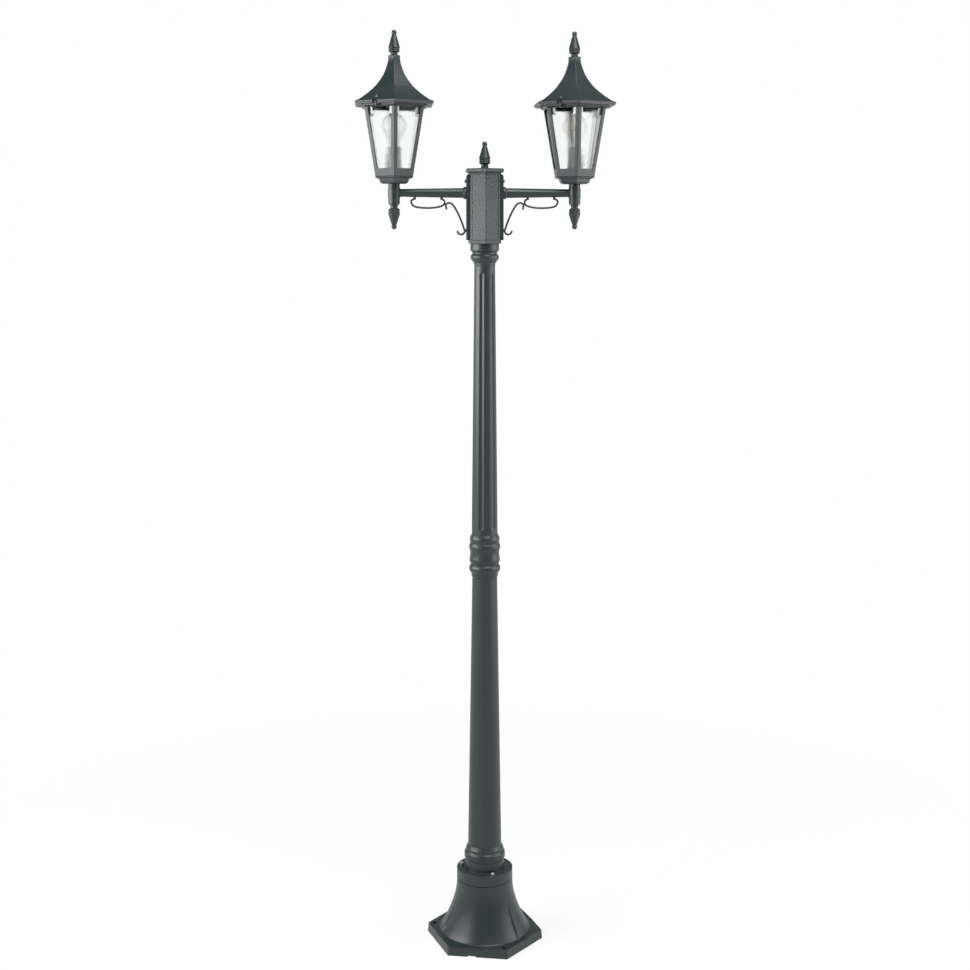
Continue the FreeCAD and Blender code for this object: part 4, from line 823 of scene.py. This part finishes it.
def bent_bar(name, shares, sign):
    curve = bpy.data.curves.new(name, "CURVE")
    curve.dimensions, curve.resolution_u = "3D", 12
    spline = curve.splines.new("NURBS")
    spline.points.add(len(shares) - 1)
    for point, share in zip(spline.points, shares):
        x, z = scroll_point(*share, sign)
        point.co = (x * mm, 0.0, z * mm, 1.0)
    spline.order_u, spline.use_endpoint_u = 3, True
    return run_tree(new_object(name, curve), bar_on_line, {
        "Radius": bar_radius * mm, "Step": 0.8 * mm, "Sides": 20, "Material": cast_paint})


for side, sign in signs.items():
    bars = [bent_bar("loop", loop_shares, sign), bent_bar("brace", brace_shares, sign)]
    for share in (loop_shares[0], loop_shares[-1]):
        x, z = scroll_point(*share, sign)
        bars.append(turned("lug", rod(3.1, z - bar_radius, arm_z - 9.3), x))
    bars.append(along_x(turned("boss", rod(3.4, plate_face, plate_face + 4.8)), sign, boss_drop))
    fitted(joined(f"scroll_{side}_dressed", bars))

# %% [markdown]
# ## Lantern pan and glazing frame
# The pan closes the lantern from below with a few hollow steps. Above it stands the glazing frame, a six-sided
# basket that widens upward. It is drawn face by face: three columns and three rows, with the middle cell left out
# as the window, once for the outside and once for the inside, and the edges of the window joined between them.

# %% Pans
pan_shares = [(0.0, 0.60), (0.12, 0.70), (0.24, 0.75), (0.50, 0.78), (0.72, 0.80), (0.72, 0.87), (0.84, 0.93),
              (0.84, 1.0), (0.94, 1.0), (1.0, 0.97)]
frame_low_apothem, frame_high_apothem, frame_wall, stile = 45.4, 72.2, 4.0, 9.0
window_low, window_high = pan_top + 19.0, frame_top - 5.0


def frame_apothem(z):
    return frame_low_apothem + (frame_high_apothem - frame_low_apothem) * (z - pan_top) / (frame_top - pan_top)


hex_ring = six_sided(1.2)
pan = outline(pan_shares, pan_top - stem_top, frame_low_apothem, stem_top)
pan += [(28.7, pan_top), (28.7, stem_top + 6.0), (5.8, stem_top + 6.0), (5.8, stem_top)]
for side, x in sides.items():
    lathed(f"lantern_pan_{side}", pan, 0.7, x, ring=hex_ring)


# %% Glazing frames
def basket(name):
    """Outer and inner walls with a window in each of six faces."""
    bm = bmesh.new()
    levels = (pan_top, window_low, window_high, frame_top)
    for i in range(6):
        grids = []
        for inset in (0.0, frame_wall):
            rows = []
            for z in levels:
                a = frame_apothem(z) - inset
                half, window = a * side_share, frame_apothem(z) * side_share - stile
                rows.append([bm.verts.new(Vector((a, y, z)) * mm) for y in (-half, -window, window, half)])
            grids.append(rows)
        for rows in grids:
            for r in range(3):
                for c in range(3):
                    if (r, c) != (1, 1):
                        bm.faces.new((rows[r][c], rows[r][c + 1], rows[r + 1][c + 1], rows[r + 1][c]))
        outer, inner = grids
        loop = [(1, 1), (1, 2), (2, 2), (2, 1)]
        for (r, c), (s, d) in zip(loop, loop[1:] + loop[:1]):
            bm.faces.new((outer[r][c], outer[s][d], inner[s][d], inner[r][c]))
        for r in (0, 3):
            for c in range(3):
                bm.faces.new((outer[r][c], outer[r][c + 1], inner[r][c + 1], inner[r][c]))
        verts = {v for rows in grids for row in rows for v in row}
        bmesh.ops.rotate(bm, verts=list(verts), cent=(0, 0, 0), matrix=Matrix.Rotation(math.pi / 3 * i, 3, "Z"))
    return closed_up(name, bm)


cornice_low, cornice_side, rim_inside, rim_top = window_high, 79.0, 77.4, frame_top + 3.7
cornice_shares = [(0.0, 0.0), (0.30, 0.22), (0.55, 0.70), (0.72, 0.78), (0.72, 1.0)]
low_side = frame_apothem(cornice_low)
cornice = [(low_side + s * (cornice_side - low_side), cornice_low + h * 5.0) for h, s in cornice_shares]
cornice += [(cornice_side, rim_top), (rim_inside, rim_top), (rim_inside, frame_top), (69.2, frame_top),
            (68.6, cornice_low)]
ledge_low, ledge_top = 1851.3, 1857.3
ledge = [(45.5, ledge_low), (45.5, ledge_top), (38.0, ledge_top), (38.0, ledge_low)]
hinge_turn, hinge_out, hinge_z = -120.0, 89.3, 2016.8
screw_turn, screw_out, lug_in = 60.0, 85.8, 77.0
for side, x in sides.items():
    parts = [bevelled(basket("basket"), 0.7), turned("cornice", cornice, closed=True, soft=0.4, ring=hex_ring),
             turned("ledge", ledge, closed=True, soft=0.4, ring=hex_ring)]
    lug = bevelled(block("lug", (lug_in, hinge_out), (-2.1, 2.1), (frame_top - 4.0, frame_top)), 0.4)
    eye = turned("eye", [(1.5, -3.4), (3.2, -3.4), (3.2, 3.4), (1.5, 3.4)], closed=True, soft=0.4)
    eye = moved(eye, hinge_out, hinge_z, 90.0, "X")
    neck = block("neck", (86.1, hinge_out), (-2.1, 2.1), (frame_top - 2.0, 2016.0))
    screw_lug = bevelled(block("screw_lug", (lug_in, 92.7), (-6.5, 6.5), (frame_top - 6.0, frame_top)), 0.6)
    parts += [moved(p, turn_deg=hinge_turn) for p in (lug, eye, neck)] + [moved(screw_lug, turn_deg=screw_turn)]
    fitted(moved(joined(f"glazing_frame_{side}_dressed", parts), x))

# %% [markdown]
# ## Panes and their clips
# Six sheets of clear glass stand behind the windows. Their rims are ground to a shallow bevel, which shows as a
# faint line a few millimetres inside the metal. A folded spring clip holds each corner at the top. One pane and one
# clip are drawn on the +X side, and the tree sets them around each lantern.

# %% One pane, then six
def glass_apothem(z):
    return frame_apothem(z) - frame_wall - 0.1


pane_low, pane_high, rims = ledge_top + 0.1, window_high + 3.0, []
for back, inset in ((3.0, 0.0), (1.2, 0.0), (0.0, 6.0)):
    rim = []
    for z, way in ((pane_low, -1), (pane_low, 1), (pane_high, 1), (pane_high, -1)):
        z += inset if z == pane_low else -inset
        half = (glass_apothem(z) - 3.0) * side_share - 0.6 - inset
        rim.append((glass_apothem(z) - back, way * half, z))
    rims.append(rim)
for side, x in sides.items():
    glass = set_around(loft(f"panes_{side}_dressed", rims), 6, 0.0, x, pane_glass)
    fitted(glass, pane_glass, "pane_glass", crease=0.05)


# %% One clip, then twelve
clip_arm, clip_low = 12.5, window_high - 16.0


def clip(name):
    """A strip folded around a corner of the glass, drawn at the +Y corner."""
    bm = bmesh.new()
    corners = []
    for z in (clip_low, pane_high):
        for back in (3.1, 3.9):
            tip = Vector((0.0, (glass_apothem(z) - back) / math.cos(math.pi / 6)))
            for sign in (-1, 0, 1):
                fold = tip + Vector((sign * math.cos(math.pi / 6), -abs(sign) * 0.5)) * clip_arm
                corners.append(bm.verts.new(Vector((fold.x, fold.y, z)) * mm))
    front_low, back_low, front_high, back_high = (corners[i:i + 3] for i in (0, 3, 6, 9))
    for a, b in ((front_low, front_high), (back_high, back_low), (front_high, back_high), (back_low, front_low)):
        for i in range(2):
            bm.faces.new((a[i], a[i + 1], b[i + 1], b[i]))
    for i in (0, 2):
        bm.faces.new((front_low[i], front_high[i], back_high[i], back_low[i]))
    return closed_up(name, bm)


clips = [set_around(bevelled(clip("clip"), 0.15), 6, 0.0, x, zinc) for x in sides.values()]
fitted(joined("pane_clips_dressed", clips), zinc, "steel")

# %% [markdown]
# ## Lampholder and bulb
# The lampholder is a grey moulding with grip ribs, on a base flange. In it sits a clear bulb: a thin glass shell,
# a glass stem with a button on top, and four upright filament sticks around it. The shell has a wall, because a
# solid ball of glass would act as a lens and turn the view behind it upside down.

# %% Lampholders
holder_low = 1859.8
flange = [(19.0, 0.0), (19.0, 4.0), (17.3, 4.0), (17.3, 17.0), (16.4, 18.4)]
grip = [(16.5, 19.5), (16.5, 50.0), (16.1, 51.5)]
rim = [(16.1, 54.0), (13.7, 54.0), (13.7, 27.0), (6.0, 27.0), (6.0, 0.0)]
for side, x in sides.items():
    rings = [circle(r, holder_low + z, x) for r, z in softened(flange, 0.7)]
    rings += [circle(r, holder_low + z, x, ribs=16) for r, z in grip]
    rings += [circle(r, holder_low + z, x) for r, z in softened(rim, 0.6)]
    fitted(loft(f"lampholder_{side}_dressed", rings, closed=True), holder_plastic, "holder")

# %% Bulbs
glass_low, glass_height, glass_radius = 1911.9, 84.0, 30.0
mount_low, mount_height, mount_radius = glass_low + 1.1, 48.0, 9.0
stick_low, stick_height, stick_circle = glass_low + 45.6, 27.5, 5.2
bulb_shares = [(0.0, 0.43), (0.12, 0.45), (0.42, 0.80)]
stem_shares = [(0.0, 1.0), (0.30, 0.42), (0.93, 0.30), (0.93, 0.76), (0.97, 0.76), (0.97, 0.30), (1.0, 0.30)]
for side, x in sides.items():
    shells = []
    for wall in (0.0, 1.0):
        line = outline(bulb_shares, glass_height - 2 * wall, glass_radius - wall, glass_low + wall, 1.0, steps=10)
        line = softened([(0.0, glass_low + wall)] + line, 3.0)
        shells.append(loft("shell", [circle(r, z, x, 64) for r, z in line]))
    shells[1].data.flip_normals()
    fitted(joined(f"bulb_glass_{side}_dressed", shells), bulb_glass, "bulb_glass")
    line = outline(stem_shares, mount_height, mount_radius, mount_low)
    lathed(f"bulb_mount_{side}", [(0.0, mount_low)] + line + [(0.0, mount_low + mount_height)], 0.8, x,
           closed=False, material=milky_glass, slot="bulb_glass", stands_for=f"bulb_stem_{side}")
    stick = turned("stick", rod(0.7, stick_low, stick_low + stick_height))
    stick = set_around(moved(stick, stick_circle), 4, 0.0, x, filament)
    stick.name = f"filaments_{side}_dressed"
    fitted(stick, filament, "filament", stands_for=f"bulb_stem_{side}")

# %% [markdown]
# ## Roofs
# A lantern's roof is one thin casting with six hollow-curved faces that meet in crisp ridges. Its outline is a table
# of heights and widths, and a smooth line through them gives the rings. The inside is the same line moved inward by
# the wall. The eave has a small step and is closed from below by a soffit. On the front left face it has a notch for
# the hinge, with an ear on both sides and a small gusset above.

# %% Roofs
roof_shares = [(0.0, 1.0), (0.040, 0.870), (0.095, 0.765), (0.155, 0.655), (0.225, 0.545), (0.310, 0.420),
               (0.395, 0.322), (0.480, 0.238), (0.565, 0.166), (0.650, 0.112), (0.735, 0.069), (0.820, 0.032),
               (0.905, 0.008), (1.0, 0.0)]
eave, roof_tip, roof_rise = 94.8, 13.8, 114.0


def smooth_line(points, steps=3):
    """Points on a smooth line through the given ones (Catmull-Rom)."""
    points = [Vector(p) for p in points]
    line = []
    for i in range(len(points) - 1):
        a, b, c, d = (points[min(max(i + k, 0), len(points) - 1)] for k in (-1, 0, 1, 2))
        for k in range(steps):
            t = k / steps
            line.append(0.5 * ((2 * b) + (c - a) * t + (2 * a - 5 * b + 4 * c - d) * t * t
                               + (3 * b - a - 3 * c + d) * t ** 3))
    return line + [points[-1]]


def drawn_in(points, wall):
    """The line moved square to itself, toward the axis."""
    moved_in = []
    for i, p in enumerate(points):
        along = (points[min(i + 1, len(points) - 1)] - points[max(i - 1, 0)]).normalized()
        moved_in.append(p + Vector((-along.y, along.x)) * wall)
    return moved_in


outside = smooth_line([(roof_tip + s * (eave - roof_tip), eave_top + h * roof_rise) for h, s in roof_shares])
neck_low, eave_wall, roof_wall = roof_top - 4.0, 90.3, 3.0
inside = [p for p in drawn_in(outside, roof_wall) if eave_top - 1.5 < p.y < neck_low]
eave_line = [(92.2, eave_bottom), (93.1, eave_bottom + 3.2), (93.9, eave_bottom + 3.2)]
neck_line = [(roof_tip + 0.6, neck_low), (roof_tip + 0.6, roof_top), (3.1, roof_top), (3.1, neck_low),
             (10.8, neck_low)]
lip = softened(eave_line + [(eave, eave_top), tuple(outside[1])], 0.5)
roof_line = lip[:-1] + [p for p in outside[1:] if p.y < neck_low - 0.5] + softened(neck_line, 0.5)
roof_line += inside[::-1] + [(eave_wall, inside[0].y - 1.0), (eave_wall, eave_bottom)]
rib = [(75.0, seal_top + 0.3), (75.0, 2031.0), (72.0, 2031.5), (72.0, seal_top + 0.3)]
soffit_line = [(74.6, 2015.8), (80.5, 2015.5), (90.7, 2014.3), (90.7, 2016.0), (80.5, 2017.2), (74.6, 2017.5)]
gusset_line = [(-5.5, 2027.0), (5.5, 2027.0), (0.0, 2034.8)]
below_soffit, above_soffit = 2010.0, 2020.0
for side, x in sides.items():
    roof = loft("roof", [six_sided(1.1)(*p) for p in roof_line], closed=True)
    notch = block("notch", (85.8, 97.0), (-6.5, 6.5), (eave_bottom - 2.0, 2020.3))
    gap = block("gap", (75.6, 96.0), (-7.0, 7.0), (below_soffit, above_soffit))
    hole = turned("hole", rod(3.4, below_soffit, above_soffit), screw_out)
    soffit = turned("soffit", soffit_line, closed=True, soft=0.3, ring=hex_ring)
    parts = [cut(roof, [moved(notch, turn_deg=hinge_turn)]),
             cut(soffit, [moved(gap, turn_deg=hinge_turn), moved(hole, turn_deg=screw_turn)]),
             turned("rib", rib, closed=True, soft=0.3, ring=hex_ring)]
    at_hinge = [bevelled(block("ear", (86.1, 92.0), y, (eave_bottom, 2019.8)), 0.4)
                for y in ((6.5, 12.5), (-12.5, -6.5))]
    gusset = moved(prism("gusset", gusset_line, -5.0, 5.0), 79.0, turn_deg=90.0)
    parts += [moved(p, turn_deg=hinge_turn) for p in at_hinge + [bevelled(gusset, 0.3)]]
    parts.append(moved(turned("boss", rod(5.5, 2019.0, 2031.2), screw_out, soft=0.8), turn_deg=screw_turn))
    fitted(moved(joined(f"roof_{side}_dressed", parts), x), body=f"{side}_roof")

# %% [markdown]
# ## Parts that keep their solid's shape
# Nuts, pins, seals and the pieces inside the box have the right shape already. They stay, and only their material
# slot changes.

# %% Materials for the solids that stay
kept = dict.fromkeys(("pole_grub_screws", "pole_head_screws", "earth_screw", "arm_locknuts"), steel)
kept.update({"hinge_pins": dark_steel, "terminal_block": terminal_plastic, "terminal_screws": brass})
for side in sides:
    kept.update({f"mounting_plate_{side}": zinc, f"roof_nut_{side}": steel, f"closing_screw_{side}": steel,
                 f"roof_seal_{side}": rubber, f"bulb_cap_{side}": aluminium})
for node, material in kept.items():
    for material_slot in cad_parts[node].material_slots:
        material_slot.material = material
plain = [n for n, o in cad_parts.items() if not o.hide_render and n not in kept]
print("solids that show without a dressed piece:", plain)

# %% [markdown]
# ## Stage, light and camera
# The post stands on a pale floor. Two wide soft boxes stand left and right of it, which gives the long highlights
# near both edges of the pole, and a large one hangs above and in front, for the tops of the arms and roofs. The sky
# is white only where the camera, a mirror or glass looks at it, so the background is white without more light on the
# post.

# %% Floor
floor_mesh, edge = bpy.data.meshes.new("floor"), 9.0
floor_mesh.from_pydata([(-edge, -edge, 0), (edge, -edge, 0), (edge, edge, 0), (-edge, edge, 0)], [], [(0, 1, 2, 3)])
floor = new_object("floor", floor_mesh)
floor_near, floor_fade, floor_white = 0.5, 1.3, 0.78


def floor_build(graph):
    mottle = noise(graph, 3.0, 4.0)
    matt = graph.add("ShaderNodeBsdfPrincipled", {}, {
        "Base Color": blend_colours(graph, mottle, (0.86, 0.86, 0.86), (0.90, 0.90, 0.90)), "Roughness": 0.8})
    bright = graph.add("ShaderNodeEmission", {}, {"Color": (1.0, 1.0, 1.0, 1.0), "Strength": 1.0})
    path = graph.add("ShaderNodeLightPath", out="Is Camera Ray")
    seen = path.most(path.of("Is Glossy Ray")).most(path.of("Is Transmission Ray"))
    spot = graph.add("ShaderNodeTexCoord", out="Object")
    away = graph.add("ShaderNodeVectorMath", {"operation": "LENGTH"}, {0: spot}, "Value")
    share = floor_white + ((away - floor_near) / floor_fade).most(0.0).least(1.0) * (1 - floor_white)
    return graph.add("ShaderNodeMixShader", {}, {0: seen * share, 1: matt, 2: bright})


floor_mesh.materials.append(finish("floor", floor_build))

# %% Sky and lamps
world = bpy.data.worlds.new("studio")
world.use_nodes = True
bpy.context.scene.world = world
graph = Graph(world.node_tree)
path = graph.add("ShaderNodeLightPath", out="Is Camera Ray")
toward = graph.add("ShaderNodeSeparateXYZ", {}, {0: graph.add("ShaderNodeTexCoord", out="Object")}, "Y")
behind = toward * 1.2 - abs(toward.of("Z")) * 2.4 + 0.05
mirrored = path.of("Is Glossy Ray") * behind.most(0.0).least(1.0)
shown = path.most(path.of("Is Transmission Ray")).most(mirrored)
sky = graph.add("ShaderNodeBackground", {}, {"Color": (0.62, 0.64, 0.66, 1.0), "Strength": 0.20})
white = graph.add("ShaderNodeBackground", {}, {"Color": (1.0, 1.0, 1.0, 1.0), "Strength": 1.0})
surface = graph.add("ShaderNodeMixShader", {}, {0: shown, 1: sky, 2: white})
graph.add("ShaderNodeOutputWorld", {}, {"Surface": surface})


def softbox(name, place, aim, size, power):
    lamp = bpy.data.lights.new(name, "AREA")
    lamp.shape, lamp.size, lamp.size_y, lamp.energy = "RECTANGLE", size[0], size[1], power
    obj = new_object(name, lamp)
    obj.location = place
    obj.rotation_euler = (Vector(aim) - Vector(place)).to_track_quat("-Z", "Y").to_euler()
    print("lamp", name)


softbox("left_box", (-2.45, -0.5, 1.78), (0.0, 0.0, 1.75), (2.5, 1.3), 99.0)
softbox("right_box", (2.45, -0.4, 1.6), (0.0, 0.0, 1.5), (2.1, 2.0), 52.0)
softbox("top_box", (0.6, -1.15, 3.8), (0.1, 0.0, 1.8), (1.7, 2.5), 92.0)

# %% [markdown]
# The camera stands where the photograph was taken from: level, 3.7 m away and 1.7 m high, so the post is seen from
# above at its foot and from below at its roofs. A level camera keeps the pole upright, and the lens is shifted
# down to take in the foot, as with a view camera.

# %% Camera and colour
camera_data = bpy.data.cameras.new("camera")
camera = new_object("camera", camera_data)
azimuth, distance, eye = math.radians(-4.0), 3.69, 1.70
picture, focal, sensor, shift_right, shift_down = 970.0, 1517.0, 36.0, 0.3, 250.0
camera.location = (math.sin(azimuth) * distance, -math.cos(azimuth) * distance, eye)
camera.rotation_euler = (math.pi / 2, 0.0, azimuth)
camera_data.sensor_width, camera_data.lens = sensor, sensor * focal / picture
camera_data.shift_x, camera_data.shift_y = shift_right / picture, -shift_down / picture
bpy.context.scene.camera = camera
bpy.context.scene.view_settings.view_transform = "Standard"
print("camera", round(camera_data.lens, 2), "mm lens")
